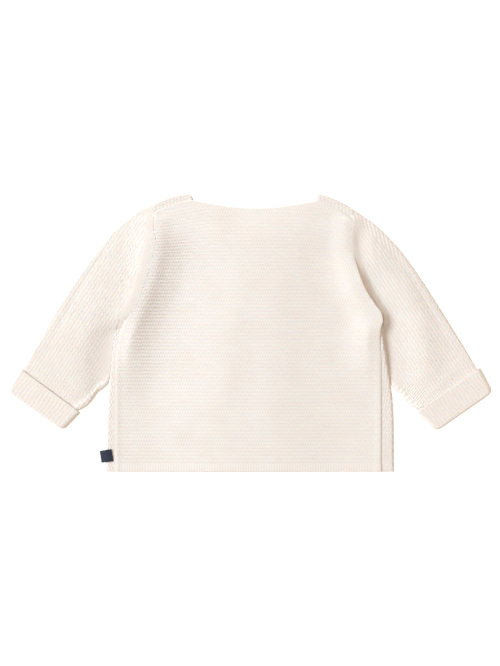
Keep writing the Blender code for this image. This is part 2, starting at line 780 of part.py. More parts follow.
add_back(material("back knit", CREAM, KNIT_ROUGHNESS), cardigan)
for body_side in (LEFT, RIGHT):
    add_front(body_side, material("front knit " + body_side.name, CREAM, KNIT_ROUGHNESS), cardigan)
    add_sleeve(body_side, material("sleeve knit " + body_side.name, CREAM, KNIT_ROUGHNESS), cardigan)
    add_cuff(body_side, material("cuff knit " + body_side.name, CREAM, KNIT_ROUGHNESS), cardigan)
add_label(material("woven label", NAVY, LABEL_ROUGHNESS), cardigan)
for button_number, button_level in enumerate(BUTTON_LEVELS, start=1):
    shell = material(f"shell button {button_number}", SHELL, BUTTON_ROUGHNESS)
    add_button(button_number, button_level, shell, cardigan)
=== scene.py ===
import math
from collections import namedtuple

import bpy
import numpy as np
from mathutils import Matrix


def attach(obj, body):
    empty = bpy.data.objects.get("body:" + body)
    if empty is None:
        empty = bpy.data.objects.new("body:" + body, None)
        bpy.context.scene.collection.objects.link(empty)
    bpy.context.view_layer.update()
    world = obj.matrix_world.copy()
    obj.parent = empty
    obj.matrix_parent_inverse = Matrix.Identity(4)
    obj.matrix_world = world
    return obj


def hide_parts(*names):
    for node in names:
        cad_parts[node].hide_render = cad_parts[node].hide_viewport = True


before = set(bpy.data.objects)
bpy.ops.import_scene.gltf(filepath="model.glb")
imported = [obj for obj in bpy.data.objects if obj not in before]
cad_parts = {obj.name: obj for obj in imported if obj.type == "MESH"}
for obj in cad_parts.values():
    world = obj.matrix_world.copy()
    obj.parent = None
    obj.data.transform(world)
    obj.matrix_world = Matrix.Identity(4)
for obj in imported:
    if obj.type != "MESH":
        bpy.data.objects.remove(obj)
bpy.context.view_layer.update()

# ---------------------------------------------------------------- back
# The back is one panel of cream cotton, knitted in garter stitch from the hem up, so its ridges run across.
# It is sewn to the fronts down both sides and along the shoulders, and to the sleeves round the armholes.
# Sizes are in mm. Each side is worked out with x counted outwards from the middle, and placed by its sign.

MM = 0.001
WALL = 2.0
SEAM_GAP = 0.3
BODY_RIDGE = 3.4
BODY_STITCH = 5.0
STITCH_SWAY = 0.06
KNIT_STEPS = 4
LINING_STEPS = (8, 8)
KNIT_HEIGHT = 0.3
CREST_SHARE = 0.31
BUMP_SHARE = 1.2
KNIT_TOP = KNIT_HEIGHT * (CREST_SHARE + BUMP_SHARE)
CREAM = (0.925, 0.878, 0.83)
CREAM_DEEP = (0.912, 0.855, 0.796)
# Painted shade: the colour that the bottom of a seam is darkened towards, and how much of it is painted
# between the stitches
HOLLOW_SHADE = (0.72, 0.66, 0.6)
HOLLOW_SHARE = 0.36
# How much painted shade darkens the bottom of the side seams, and how far in it fades out
SEAM_SHADE = 0.5
SEAM_SHADE_REACH = (0.5, 1.5)

LAYER_SLOT = 0.8
BACK_LOW = WALL + LAYER_SLOT
HEM_Y = -135.4
NECK_LOW = (5.0, 120.2)
NECK_CURVE = 1.7
CROWN_RISE = 3.8
CROWN_MIDDLE = -6.0
CROWN_FLAT = 19.0
CROWN_REACH = 105.0
CROWN_END = (86.0, 140.0)
NECK_DROOP = 0.8
NECK_DROOP_ACROSS = (12.0, 46.0)
NECK_DROOP_START = 88.0
ARMHOLE_LIFT = 2.1
ARMHOLE_LIFT_REACH = 22.0
# How softly the crown and the lift at the armholes run into each other
LIFT_ROUNDING = 1.4
LIFT_DROP = 0.3
SHOULDER_LEAN = 0.3
EDGE_THINNING = 0.78
THINNING_LEFT = 6.0
THINNING_RIGHT = 1.6 * THINNING_LEFT
# Where the panel's edge blends in, the sleeve's face comes up to it this far in, and the edge sinks below it
MEETING = 2.2
EDGE_SINK = 0.5
# y between which the panel's edge leaves the side seam and lies on the sleeve, and leaves it for the shoulder
ARMHOLE_FOOT = (-14.0, 14.0)
ARMHOLE_FOOT_WITHIN = (-62.0, 6.0)
ARMHOLE_FOOT_REACH = 14.0
ARMHOLE_HEAD = (107.0, 118.0)
# The panel's edge lies at least this far over the sleeve, and a little more
HOLD_LEAST = 5.0
HOLD_MORE = 1.5
# The left armhole seam stands up in a soft roll: its height, where it ends, and how far it reaches each way
ROLL_HEIGHT = 2.3
ROLL_FOOT = (-62.0, 26.0)
ROLL_HEAD = (84.0, 112.0)
ROLL_ON_BODY = (6.0, 42.0)
ROLL_ON_SLEEVE = (2.0, 27.0)
CURL_FOOT = (-4.0, 34.0)
ROLL_FALL = 17.0
# Above this height the right edge thins out and blends into the sleeve. Below it, it stands up over it.
RIGHT_BLEND = (46.0, 84.0)
RIGHT_CURL = 3.6
RIGHT_CURL_REACH = 46.0
RIGHT_CURL_FOOT = (-64.0, 6.0)
GROOVE_DEPTH = 0.9
GROOVE_ON_BODY = (-4.0, 7.0)
GROOVE_HEAD = (84.0, 120.0)
# How far the ridges sink towards the armholes, and between which places
RIDGE_SAG = 8.0
SAG_ACROSS = (38.0, 98.0)
SAG_UP = (55.0, 125.0)
# How far the panel's rim turns down at its free edges, and at its seams
RIM = 0.8
RIM_TURNS = np.radians([90.0, 60.0, 30.0])
RIM_INSET = 1 - np.sin(RIM_TURNS)
RIM_DROP = 1 - np.cos(RIM_TURNS)
SEAM_TURN = 0.22
# The panel's mesh reaches this many stitches each way, and this far above the lowest point of the neck
STITCHES_EACH_WAY = 28
ABOVE_NECK = 22.0

Outline = namedtuple("Outline", "sign edge root neck_corner shoulder_end shoulder_bow strip")
LEFT = Outline(
    sign=-1,
    edge=(
        (HEM_Y, 132.0), (-48.0, 132.0), (-32.0, 131.7), (-14.0, 130.2), (-3.0, 127.2),
        (13.6, 119.9), (40.7, 108.3), (69.8, 99.6), (94.0, 95.7), (123.0, 94.7),
    ),
    root=(
        (4.0, 117.5), (13.6, 112.9), (40.7, 101.3), (69.8, 92.6), (88.0, 90.6), (97.0, 92.6),
        (104.0, 93.5), (113.0, 92.5), (122.5, 92.0),
    ),
    neck_corner=(57.9, 135.0),
    shoulder_end=(94.6, 123.4),
    shoulder_bow=2.4,
    strip=(7.0, 9.0),
)
RIGHT = Outline(
    sign=1,
    edge=(
        (HEM_Y, 127.7), (-48.0, 127.7), (-22.0, 127.4), (-8.0, 126.4), (1.9, 126.8), (11.6, 129.0),
        (17.4, 128.0), (28.1, 120.6), (40.7, 112.6), (55.2, 106.8), (67.8, 103.0), (91.0, 100.2),
        (106.0, 100.8), (118.5, 101.0),
    ),
    root=(
        (4.0, 117.5), (18.0, 113.0), (40.7, 104.0), (67.8, 96.0), (86.0, 94.4), (95.0, 97.4),
        (103.0, 98.9), (111.0, 98.4), (118.0, 98.2),
    ),
    neck_corner=(67.1, 134.2),
    shoulder_end=(100.9, 118.5),
    shoulder_bow=1.8,
    strip=(6.5, 11.0),
)

# A soft fold: y, x of its middle, its half width, its height (below 0 for a trough), where it fades out, and
# how many times wider it is towards the middle of the garment
Fold = namedtuple("Fold", "path width height ends fade inner", defaults=(1.0,))
BACK_FOLDS = (
    Fold(
        path=((-70.0, -92.0), (-30.0, -84.0), (2.0, -76.0), (31.0, -66.0), (60.0, -58.0), (94.0, -54.0)),
        width=24.0, height=-2.0, ends=(-104.0, 126.0), fade=66.0, inner=2.0,
    ),
    Fold(((-40.0, 100.0), (20.0, 92.0), (70.0, 80.0)), 24.0, -0.4, (-40.0, 100.0), 50.0),
    Fold(((-110.0, -30.0), (40.0, -8.0), (110.0, 12.0)), 14.0, 0.5, (-90.0, 90.0), 60.0),
    Fold(((-110.0, 60.0), (0.0, 52.0), (90.0, 40.0)), 16.0, -0.35, (-100.0, 80.0), 60.0),
    Fold(((-120.0, -70.0), (-60.0, -64.0)), 12.0, 0.3, (-130.0, -40.0), 30.0),
)
# The folds fade out this far from the panel's sides and from its top
FOLDS_FROM_SIDE = (6.0, 20.0)
FOLDS_FROM_TOP = (3.0, 18.0)
# The side seams swell beside the stitching: how high, how far in and how wide
SEAM_SWELL = {LEFT: 0.45, RIGHT: 0.25}
SEAM_SWELL_PLACE = 3.6
SEAM_SWELL_WIDTH = 2.6
# The knit is flatter near the panel's edges
FLATTER_TOP = 2.5
FLATTER_SIDE = 6.0
FLATTER_SHARE = 0.35
# The stitches stand out more over the left side's fold
FULLER = (0.22, 0.5)
FULLER_ACROSS = (30.0, 84.0)
FULLER_FROM = (-90.0, 30.0)
FULLER_BELOW = (84.0, 116.0)
# The cast-on edge stands out a little, and shows its stitches upright
HEM_BAND = (4.0, 7.5)
HEM_SWELL = 0.3
HEM_STITCH = 0.8


def through(table, places):
    """A smooth line through the rows of a table, read at places and level beyond its ends."""
    rows, values = np.array(table, float).T
    slopes = np.gradient(values, rows)
    places = np.clip(places, rows[0], rows[-1])
    row = np.clip(np.searchsorted(rows, places, side="right") - 1, 0, len(rows) - 2)
    span = rows[row + 1] - rows[row]
    t = (places - rows[row]) / span
    start = values[row] * (1 + 2 * t) * (1 - t) ** 2 + slopes[row] * span * t * (1 - t) ** 2
    return start + values[row + 1] * t * t * (3 - 2 * t) + slopes[row + 1] * span * t * t * (t - 1)


def soft(value, low, high):
    """0 at low, 1 at high, and smooth between them."""
    t = np.clip((value - low) / (high - low), 0.0, 1.0)
    return t * t * (3 - 2 * t)


def between(value, rising, falling):
    """1 between two soft ends, and 0 beyond them."""
    return soft(value, *rising) * (1 - soft(value, *falling))


def hump(distance, width):
    """1 in the middle of a fold or a seam, and softly down to 0 on each side."""
    return np.exp(-((distance / width) ** 2))


def mix(first, last, t):
    return first + (last - first) * t


def higher(first, last):
    """The higher of two heights, rounded where they meet."""
    return (first + last + np.sqrt((first - last) ** 2 + LIFT_ROUNDING) - LIFT_DROP) / 2


def folds_height(folds, x, y):
    """Height that the soft folds add at each point."""
    height = np.zeros(np.broadcast(x, y).shape)
    for fold in folds:
        low, high = fold.ends
        share = between(y, (low, low + fold.fade), (high - fold.fade, high))
        middle = through(fold.path, y)
        width = fold.width * np.where(np.abs(x) < np.abs(middle), fold.inner, 1.0)
        height += fold.height * share * hump(x - middle, width)
    return height


def garter(stitch, ridge):
    """Relative height of garter stitch, at a place counted in stitches along and in ridges across."""
    sway = STITCH_SWAY * np.cos(2 * np.pi * stitch)
    crest = np.cos(2 * np.pi * (ridge - sway))
    bumps = np.cos(4 * np.pi * stitch + np.pi * np.floor(ridge + 0.5))
    return CREST_SHARE * crest + BUMP_SHARE * (0.5 + 0.5 * crest) * bumps


def shoulder(side, t, inwards):
    """A point on the shoulder, t along it from the neck, and inwards from its folded edge."""
    bow = side.shoulder_bow * 4 * t * (1 - t)
    lean = mix(SHOULDER_LEAN, 0.0, t)
    length = np.hypot(lean, 1.0)
    x = mix(side.neck_corner[0], side.shoulder_end[0], t) + SHOULDER_LEAN * bow
    y = mix(side.neck_corner[1], side.shoulder_end[1], t) + bow
    return x - inwards * lean / length, y - inwards / length


def strip_width(side, t):
    return mix(*side.strip, t)


def back_top(x):
    """y of the back panel's top edge: a shoulder seam, the neck and the other shoulder seam."""
    top = np.zeros(x.shape)
    for side in (LEFT, RIGHT):
        t = np.linspace(0.0, 1.0, 33)
        seam_x, seam_y = shoulder(side, t, strip_width(side, t) + SEAM_GAP)
        out, low = side.sign * x, side.sign * NECK_LOW[0]
        across = np.clip((out - low) / (seam_x[0] - low), 0.0, 1.0)
        neck = mix(NECK_LOW[1], seam_y[0], across**NECK_CURVE)
        top = np.where(out >= low, np.where(out < seam_x[0], neck, np.interp(out, seam_x, seam_y)), top)
    return top


def either(x, of_side):
    """of_side's values for the side that each point is on."""
    return np.where(x > 0, of_side(RIGHT), of_side(LEFT))


def inwards_of(x, y):
    """How far in from the panel's side edge a point lies."""
    return either(x, lambda side: through(side.edge, y)) - np.abs(x)


def hold_of(x, y):
    """How far in from its edge the panel lies on the sleeve's end."""

    def overlap(side):
        return through(side.edge, y) - through(side.root, np.maximum(y, side.root[0][0]))

    return np.maximum(either(x, overlap), HOLD_LEAST) + HOLD_MORE


def on_sleeve(y):
    """1 where the panel's edge lies on a sleeve, 0 at the side seam and the shoulder seam."""
    return between(y, ARMHOLE_FOOT, ARMHOLE_HEAD)


def edge_curl(x, y, inwards):
    """How far the panel stands up towards its armhole edges."""
    at_edge = mix(soft(inwards, 0.0, ROLL_FALL), 1.0, soft(y, *CURL_FOOT))
    left = ROLL_HEIGHT * between(y, ROLL_FOOT, ROLL_HEAD) * (1 - soft(inwards, *ROLL_ON_BODY)) * at_edge
    right = RIGHT_CURL * between(y, RIGHT_CURL_FOOT, RIGHT_BLEND) * (1 - soft(inwards, 0.0, RIGHT_CURL_REACH))
    right -= GROOVE_DEPTH * between(y, RIGHT_BLEND, GROOVE_HEAD) * (1 - soft(inwards, *GROOVE_ON_BODY))
    sink = EDGE_SINK * blended_edge(x, y) * (1 - soft(inwards, 0.0, MEETING))
    return np.where(x < 0, left, right) - sink


def blended_edge(x, y):
    """1 where the panel's edge blends into the sleeve, 0 where it ends over it or at another seam."""
    return on_sleeve(y) * np.where(x < 0, 1.0, soft(y, *RIGHT_BLEND))


def back_face(x, y):
    """Height of the panel's outer face, without its knit and its seam."""
    out = np.maximum(np.abs(x - CROWN_MIDDLE) - CROWN_FLAT, 0.0)
    crown = CROWN_RISE * (1 - soft(out, 0.0, CROWN_REACH - CROWN_FLAT)) * (1 - soft(y, *CROWN_END))
    beside_neck = 1 - soft(np.abs(x - NECK_LOW[0]), *NECK_DROOP_ACROSS)
    droop = NECK_DROOP * beside_neck * soft(y, NECK_DROOP_START, NECK_LOW[1])
    inwards, hold = inwards_of(x, y), hold_of(x, y)
    within = soft(inwards, 0.0, ARMHOLE_FOOT_REACH)
    foot = mix(soft(y, *ARMHOLE_FOOT), soft(y, *ARMHOLE_FOOT_WITHIN), within)
    lift = ARMHOLE_LIFT * foot * (1 - soft(y, *ARMHOLE_HEAD))
    lift = lift * (1 - soft(inwards, hold, hold + ARMHOLE_LIFT_REACH))
    inside = soft(inwards, *FOLDS_FROM_SIDE) * soft(back_top(x) - y, *FOLDS_FROM_TOP)
    folds = folds_height(BACK_FOLDS, x, y) * inside
    return BACK_LOW + WALL + higher(crown, lift) - droop + folds + edge_curl(x, y, inwards)


def back_thickness(x, y):
    """Thickness of the panel: it thins out where its edge blends into the sleeve."""
    reach = np.where(x < 0, THINNING_LEFT, THINNING_RIGHT)
    thin = EDGE_THINNING * (1 - soft(inwards_of(x, y) / reach, 0.0, 1.0))
    return WALL * (1 - thin * blended_edge(x, y))


def ridge_level(x, y):
    """Which height above the hem the ridge through a point starts from at the middle."""
    sag = soft(np.abs(x - NECK_LOW[0]), *SAG_ACROSS)
    level = y.copy()
    for _ in range(6):
        level = y + RIDGE_SAG * sag * soft(level, *SAG_UP)
    return level


def back_grid():
    """x and y of the panel's points, and how far its rim has turned down at them."""
    step, turns = BODY_RIDGE / KNIT_STEPS, len(RIM_TURNS)
    levels = np.arange(HEM_Y, NECK_LOW[1] + ABOVE_NECK, step)
    inset = np.concatenate([RIM * RIM_INSET, np.full(len(levels), RIM), RIM * RIM_INSET[::-1]])
    levels = np.concatenate([np.full(turns, HEM_Y), levels, np.full(turns, levels[-1] + step)])
    reach = STITCHES_EACH_WAY * BODY_STITCH
    columns = np.arange(-reach, reach, BODY_STITCH / KNIT_STEPS)
    rows, wide = len(levels), len(columns)
    level, inset = levels[:, None], inset[:, None]
    y = np.repeat(level, wide + 2 * turns, axis=1)
    for _ in range(6):
        left, right = -through(LEFT.edge, y), through(RIGHT.edge, y)
        x = np.empty(y.shape)
        x[:, :turns] = left[:, :turns] + RIM * RIM_INSET
        x[:, -turns:] = right[:, -turns:] - RIM * RIM_INSET[::-1]
        x[:, turns:-turns] = np.clip(columns, left[:, turns:-turns] + RIM, right[:, turns:-turns] - RIM)
        sag = RIDGE_SAG * soft(np.abs(x - NECK_LOW[0]), *SAG_ACROSS) * soft(level, *SAG_UP)
        y = np.clip(level - sag, HEM_Y + inset, back_top(x) - inset)
    turned_rows = np.concatenate([RIM_DROP, np.zeros(rows - 2 * turns), RIM_DROP[::-1]])[:, None]
    at_shoulder = either(x, lambda side: (np.abs(x) > side.neck_corner[0] + 1.0) & (y > 0.0))
    turned_rows = turned_rows * np.where(at_shoulder, SEAM_TURN, 1.0)
    turned_columns = np.concatenate([RIM_DROP, np.zeros(wide), RIM_DROP[::-1]])[None, :]
    turned_columns = turned_columns * mix(SEAM_TURN, 1.0, on_sleeve(y)) * (1 - blended_edge(x, y))
    return x, y, np.maximum(turned_rows, turned_columns)


def thinned(count, step):
    """Every so many of the numbers up to count, and always the last."""
    return np.unique(np.append(np.arange(0, count, step), count - 1))


def walk(outer, inner, picks):
    """Triangles between an edge of the face and the same edge of the lining, which keeps only its picks."""
    triangles = []
    for number, (start, end) in enumerate(zip(picks, picks[1:])):
        half = (start + end) // 2
        near, far = inner[number], inner[number + 1]
        triangles += [(outer[at + 1], outer[at], near) for at in range(start, half)]
        triangles.append((outer[half], near, far))
        triangles += [(outer[at + 1], outer[at], far) for at in range(half, end)]
    return triangles


def grid_faces(numbers):
    corners = (numbers[:-1, :-1], numbers[:-1, 1:], numbers[1:, 1:], numbers[1:, :-1])
    return np.stack([corner.ravel() for corner in corners], axis=1)


def add_cloth(name, face, lining, steps, tube, knit, cloth, seam=0.0):
    """A closed shell of cloth, from a fine face and a coarser lining with the same rows and columns.

    knit holds each point's place in stitches and in ridges, and how far its knit stands out. seam is how much
    painted shade darkens the bottom of a seam at each point.
    """
    rows, columns = face.shape[:2]
    row_picks, column_picks = thinned(rows, steps[0]), thinned(columns, steps[1])
    lining = lining[np.ix_(row_picks, column_picks)]
    outer = np.arange(rows * columns).reshape(rows, columns)
    inner = outer.size + np.arange(lining[..., 0].size).reshape(lining.shape[:2])
    edges = [(outer[0], inner[0], column_picks)]
    edges.append((outer[-1, ::-1], inner[-1, ::-1], columns - 1 - column_picks[::-1]))
    if not tube:
        edges.append((outer[:, -1], inner[:, -1], row_picks))
        edges.append((outer[::-1, 0], inner[::-1, 0], rows - 1 - row_picks[::-1]))
    triangles = np.array([triangle for edge in edges for triangle in walk(*edge)])
    quads = np.concatenate([grid_faces(outer), grid_faces(inner)[:, ::-1]])

    points = np.concatenate([face.reshape(-1, 3), lining.reshape(-1, 3)])
    rounded = np.round(points / MM).astype(np.int64)
    _, first, merged = np.unique(rounded, axis=0, return_index=True, return_inverse=True)
    merged = merged.ravel()
    polygons, sources = [], []
    for group in (quads, triangles):
        kept = merged[group] != merged[np.roll(group, -1, axis=1)]
        whole = kept.all(axis=1)
        polygons += merged[group[whole]].tolist()
        sources += group[whole].tolist()
        for corners, keep in zip(group[~whole], kept[~whole]):
            left = corners[keep]
            if len(set(merged[left])) > 2:
                polygons.append(merged[left].tolist())
                sources.append(left.tolist())

    parts = (*knit, np.broadcast_to(seam, outer.shape))
    stitch, ridge, height, depth = (np.concatenate([part.ravel(), np.zeros(inner.size)]) for part in parts)
    mesh = bpy.data.meshes.new(name)
    mesh.from_pydata(points[first] * MM, [], polygons)
    corner = np.array([at for source in sources for at in source])
    places = mesh.uv_layers.new(name="knit")
    places.data.foreach_set("uv", np.stack([stitch[corner], ridge[corner]], axis=1).ravel())
    if shell_volume(mesh) < 0:
        mesh.flip_normals()
    normals = np.empty(len(mesh.vertices) * 3)
    mesh.vertices.foreach_get("normal", normals)
    moved = points[first] + normals.reshape(-1, 3) * height[first][:, None]
    moved[:, 2] = np.maximum(moved[:, 2], 0.0)
    mesh.vertices.foreach_set("co", (moved * MM).ravel())
    # Painted shade: the hollow attribute adds darkening where the knit sinks between the stitches to the
    # seam's painted shade
    depth = np.clip(depth + HOLLOW_SHARE * (0.5 - 0.5 * height / KNIT_HEIGHT), 0.0, 1.0)
    mesh.attributes.new("hollow", "FLOAT", "POINT").data.foreach_set("value", depth[first].astype(np.float32))
    mesh.shade_smooth()
    mesh.update()
    mesh.materials.append(cloth)
    piece = bpy.data.objects.new(name, mesh)
    bpy.context.scene.collection.objects.link(piece)
    return piece


def shell_volume(mesh):
    """Six times the volume inside a closed mesh, below 0 if its faces point inwards."""
    mesh.calc_loop_triangles()
    corners = np.empty(len(mesh.loop_triangles) * 3, np.int32)
    mesh.loop_triangles.foreach_get("vertices", corners)
    points = np.empty(len(mesh.vertices) * 3)
    mesh.vertices.foreach_get("co", points)
    a, b, c = points.reshape(-1, 3)[corners.reshape(-1, 3)].transpose(1, 0, 2)
    return float(np.einsum("ij,ij->i", a, np.cross(b, c)).sum())


def new_look(name):
    """A new material, and its shader."""
    made = bpy.data.materials.new(name)
    made.use_nodes = True
    return made, made.node_tree.nodes["Principled BSDF"]


def set_values(node, values):
    for socket, value in values.items():
        node.inputs[socket].default_value = value


def feed(made, node, sources):
    """Links other nodes' outputs to a node's sockets."""
    for socket, output in sources.items():
        made.node_tree.links.new(output, node.inputs[socket])


def add_node(made, kind, values, sources):
    """A node of a material, with the values of its sockets and what feeds them."""
    node = made.node_tree.nodes.new("ShaderNode" + kind)
    set_values(node, values)
    feed(made, node, sources)
    return node


def add_ramp(made, amount, *stops):
    """Colours from one place on an amount to another, each stop a place and a colour."""
    ramp = add_node(made, "ValToRGB", {}, {"Fac": amount})
    for element, (place, colour) in zip(ramp.color_ramp.elements, stops):
        element.position = place
        element.color = (*colour, 1.0)
    return ramp.outputs["Color"]


def add_bump(made, shader, height, strength, depth):
    """Fine relief on the surface, its depth in mm."""
    bump = add_node(made, "Bump", {"Strength": strength, "Distance": depth * MM}, {"Height": height})
    feed(made, shader, {"Normal": bump.outputs["Normal"]})


def knit_material(name, painted_shade_tone=(1.0, 1.0, 1.0)):
    """Matt cotton yarn: fine fibres along each stitch, a soft sheen and a slightly uneven dye, with painted
    shade between the stitches and in the seams from the hollow attribute, and a tone that paints the whole
    piece's shade.
    """
    made, shader = new_look("cream garter knit, " + name.replace("_", " "))
    on_piece = add_node(made, "TexCoord", {}, {}).outputs["Object"]
    uneven = add_node(made, "TexNoise", {"Scale": 45.0, "Detail": 3.0}, {"Vector": on_piece})
    # The tone darkens both dye colours: painted shade over the whole piece
    deep, pale = np.array(CREAM_DEEP) * painted_shade_tone, np.array(CREAM) * painted_shade_tone
    dye = add_ramp(made, uneven.outputs["Fac"], (0.3, deep), (0.6, pale))
    # Painted shade: the dye is multiplied towards HOLLOW_SHADE by the hollow attribute
    painted_shade_amount = add_node(made, "Attribute", {}, {})
    painted_shade_amount.attribute_name = "hollow"
    shade = add_node(made, "Mix", {}, {})
    shade.data_type = "RGBA"
    shade.blend_type = "MULTIPLY"
    set_values(shade, {"B": (*HOLLOW_SHADE, 1.0)})
    feed(made, shade, {"Factor": painted_shade_amount.outputs["Fac"], "A": dye})
    feed(made, shader, {"Base Color": shade.outputs["Result"]})

    places = add_node(made, "UVMap", {}, {})
    places.uv_map = "knit"
    in_knit = places.outputs["UV"]
    along = {"Scale": (5.0, 16.0, 1.0), "Rotation": (0.0, 0.0, 0.35)}
    stretch = add_node(made, "Mapping", along, {"Vector": in_knit})
    fibre = add_node(made, "TexNoise", {"Scale": 1.0, "Detail": 2.0}, {"Vector": stretch.outputs["Vector"]})
    twist = {"Scale": 1.6, "Distortion": 1.5, "Detail Scale": 2.0}
    plies = add_node(made, "TexWave", twist, {"Vector": in_knit})
    plies.bands_direction = "DIAGONAL"
    yarn = add_node(made, "Math", {}, {})
    yarn.operation = "MULTIPLY_ADD"
    set_values(yarn, {1: 0.35})
    feed(made, yarn, {0: plies.outputs["Fac"], 2: fibre.outputs["Fac"]})
    add_bump(made, shader, yarn.outputs["Value"], 0.6, 0.25)

    set_values(shader, {
        "Roughness": 0.92,
        "Specular IOR Level": 0.2,
        "Subsurface Weight": 0.4,
        "Subsurface Radius": (1.0, 0.7, 0.5),
        "Subsurface Scale": 1.0 * MM,
        "Sheen Weight": 0.25,
        "Sheen Roughness": 0.45,
        "Sheen Tint": (1.0, 0.96, 0.9, 1.0),
    })
    return made


def add_back():
    x, y, turned = back_grid()
    outer_z = back_face(x, y)
    inner_z = outer_z - back_thickness(x, y)
    inwards = inwards_of(x, y)
    at_seam = 1 - on_sleeve(y)
    swell = either(x, lambda side: SEAM_SWELL[side]) * at_seam
    swell = swell * hump(inwards - SEAM_SWELL_PLACE, SEAM_SWELL_WIDTH)
    outer_z = outer_z + swell - WALL / 2 * turned
    stitch, ridge = x / BODY_STITCH, (ridge_level(x, y) - HEM_Y) / BODY_RIDGE
    edge = (1 - turned) * soft(back_top(x) - y, 0.0, FLATTER_TOP)
    edge = edge * mix(FLATTER_SHARE, 1.0, soft(inwards, 0.0, FLATTER_SIDE))
    hem = 1 - soft(y - HEM_Y, *HEM_BAND)
    relief = mix(garter(stitch, ridge), HEM_STITCH * np.cos(4 * np.pi * stitch), hem)
    fuller = mix(*FULLER, soft(y, *FULLER_FROM)) * (1 - soft(y, *FULLER_BELOW))
    fuller = 1 + fuller * soft(-x, *FULLER_ACROSS)
    # Painted shade at the bottom of the side seams, fading out a little way in
    seam = SEAM_SHADE * (1 - soft(inwards, *SEAM_SHADE_REACH)) * at_seam
    height = KNIT_HEIGHT * relief * edge * fuller
    outer_z = outer_z + HEM_SWELL * hem * (1 - turned)
    face = np.stack([x, y, outer_z], axis=-1)
    lining = np.stack([x, y, inner_z], axis=-1)
    cloth = knit_material("back")
    return add_cloth("back_panel", face, lining, LINING_STEPS, False, (stitch, ridge, height), cloth, seam)


back = add_back()
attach(back, "root")
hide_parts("back")

# ---------------------------------------------------------------- fronts
# Two fronts in the same knit. They lie under the back, face down, and their cloth turns round the sides and
# over the shoulders to the seams on the back. At the middle the right front is nearest the floor, and so laps
# over the left one when it is worn.

# Painted shade: the fronts are the same cream knit, painted a little darker over their whole face
FRONT_PAINTED_SHADE = (0.975, 0.97, 0.965)
OVERLAP = 11.0
PLACKET_EDGE = 13.0
BUTTON_HEIGHT = 1.6
FOLD_RADIUS = BACK_LOW / 2
FOLD_TURN = math.pi * FOLD_RADIUS
FOLD_DEPTH = FOLD_RADIUS + WALL / 2
# y, how far the cloth has drawn back from the side seam towards the sleeve's inner end, from 0 to 1
UNDERARM = ((4.0, 0.0), (5.6, 0.42), (6.0, 1.0))
# How far the fronts' cut edges run in under the back's rim at the seams, and how far they turn down there
SEAM_LAP = 0.5
END_TURN = 1.0
END_DROP = 0.25
END_ROUND = 0.9
ARMHOLE_SEAM = 0.05
# How much higher the right front's fold stands towards the underarm, and between which heights
UNDERARM_RISE = 3.6
UNDERARM_RISE_ALONG = (-64.0, 0.0)
UNDERARM_RISE_FROM = (0.3, 4.6)
UNDERARM_STEP = 0.2
SHOULDER_TILT_FROM = 55.0
FLOOR_END = 124.0
# How many columns and rows of the mesh lie flat, turn and join, and how the knit flattens near the rims and
# past the turn
FLAT_COLUMNS = 160
TURN_COLUMNS = 16
JOINING_ROWS = 12
TURNING_ROWS = 9
STRIP_ROWS = 15
EDGE_ROWS = 3
TURN_FLATTER = 0.25
TURN_FLATTER_ROWS = (-4, 4)
# Underneath, the knit is pressed flat this far above the surface
PRESSED = 1.6
# y, x of a shallow hollow in each front, where the cloth leaves the surface
FRONT_FOLD = ((-120.0, 66.0), (-40.0, 78.0), (60.0, 84.0))
FRONT_FOLD_HEIGHT = 0.5
FRONT_FOLD_WIDTH = 12.0

FrontCut = namedtuple("FrontCut", "name outline side_fold neckline middle_lift lift_end")
FRONT_LEFT = FrontCut(
    name="front_left",
    outline=LEFT,
    side_fold=((HEM_Y, 140.3), (-57.0, 137.5), (-34.0, 135.4), (-14.0, 133.4), (0.0, 131.5), (3.0, 130.8)),
    neckline=(
        (72.0, -OVERLAP), (78.0, -7.0), (84.0, 2.0), (92.0, 17.0), (102.0, 33.0), (113.0, 45.0),
        (133.0, 57.0),
    ),
    middle_lift=BUTTON_HEIGHT + 2 * SEAM_GAP + WALL,
    lift_end=34.0,
)
FRONT_RIGHT = FrontCut(
    name="front_right",
    outline=RIGHT,
    side_fold=((HEM_Y, 140.3), (-57.0, 137.6), (-34.0, 134.0), (-14.0, 130.8), (-4.0, 128.9), (3.0, 127.9)),
    neckline=(
        (72.0, -OVERLAP), (78.0, -7.0), (84.0, 3.0), (92.0, 20.0), (102.0, 39.0), (113.0, 53.0),
        (132.0, 66.0),
    ),
    middle_lift=BUTTON_HEIGHT + SEAM_GAP,
    lift_end=30.0,
)


def fold_over(along, face):
    """Offset outwards and height of cloth this far past the start of a fold. face is 1 outside, -1 inside."""
    angle = np.clip(along, 0.0, FOLD_TURN) / FOLD_RADIUS
    radius = FOLD_RADIUS + face * WALL / 2
    straight = np.minimum(along, 0.0) - np.maximum(along - FOLD_TURN, 0.0)
    return straight + radius * np.sin(angle), WALL / 2 + FOLD_RADIUS - radius * np.cos(angle)


def turned_end(from_end):
    """How far the cloth has turned down, this far from its cut edge."""
    left = np.clip(1 - from_end / END_TURN, 0.0, 1.0)
    return END_DROP * (1 - np.sqrt(1 - END_ROUND * left**2))


def front_reach(cut, y):
    """How far the front's cloth runs past the start of its side fold, or short of it at the armhole."""
    start = through(cut.side_fold, y) - FOLD_DEPTH
    folded = FOLD_TURN + start - through(cut.outline.edge, y) + SEAM_LAP
    short = through(cut.outline.root, y) - ARMHOLE_SEAM - start
    return mix(folded, short, np.interp(y, *np.array(UNDERARM).T))


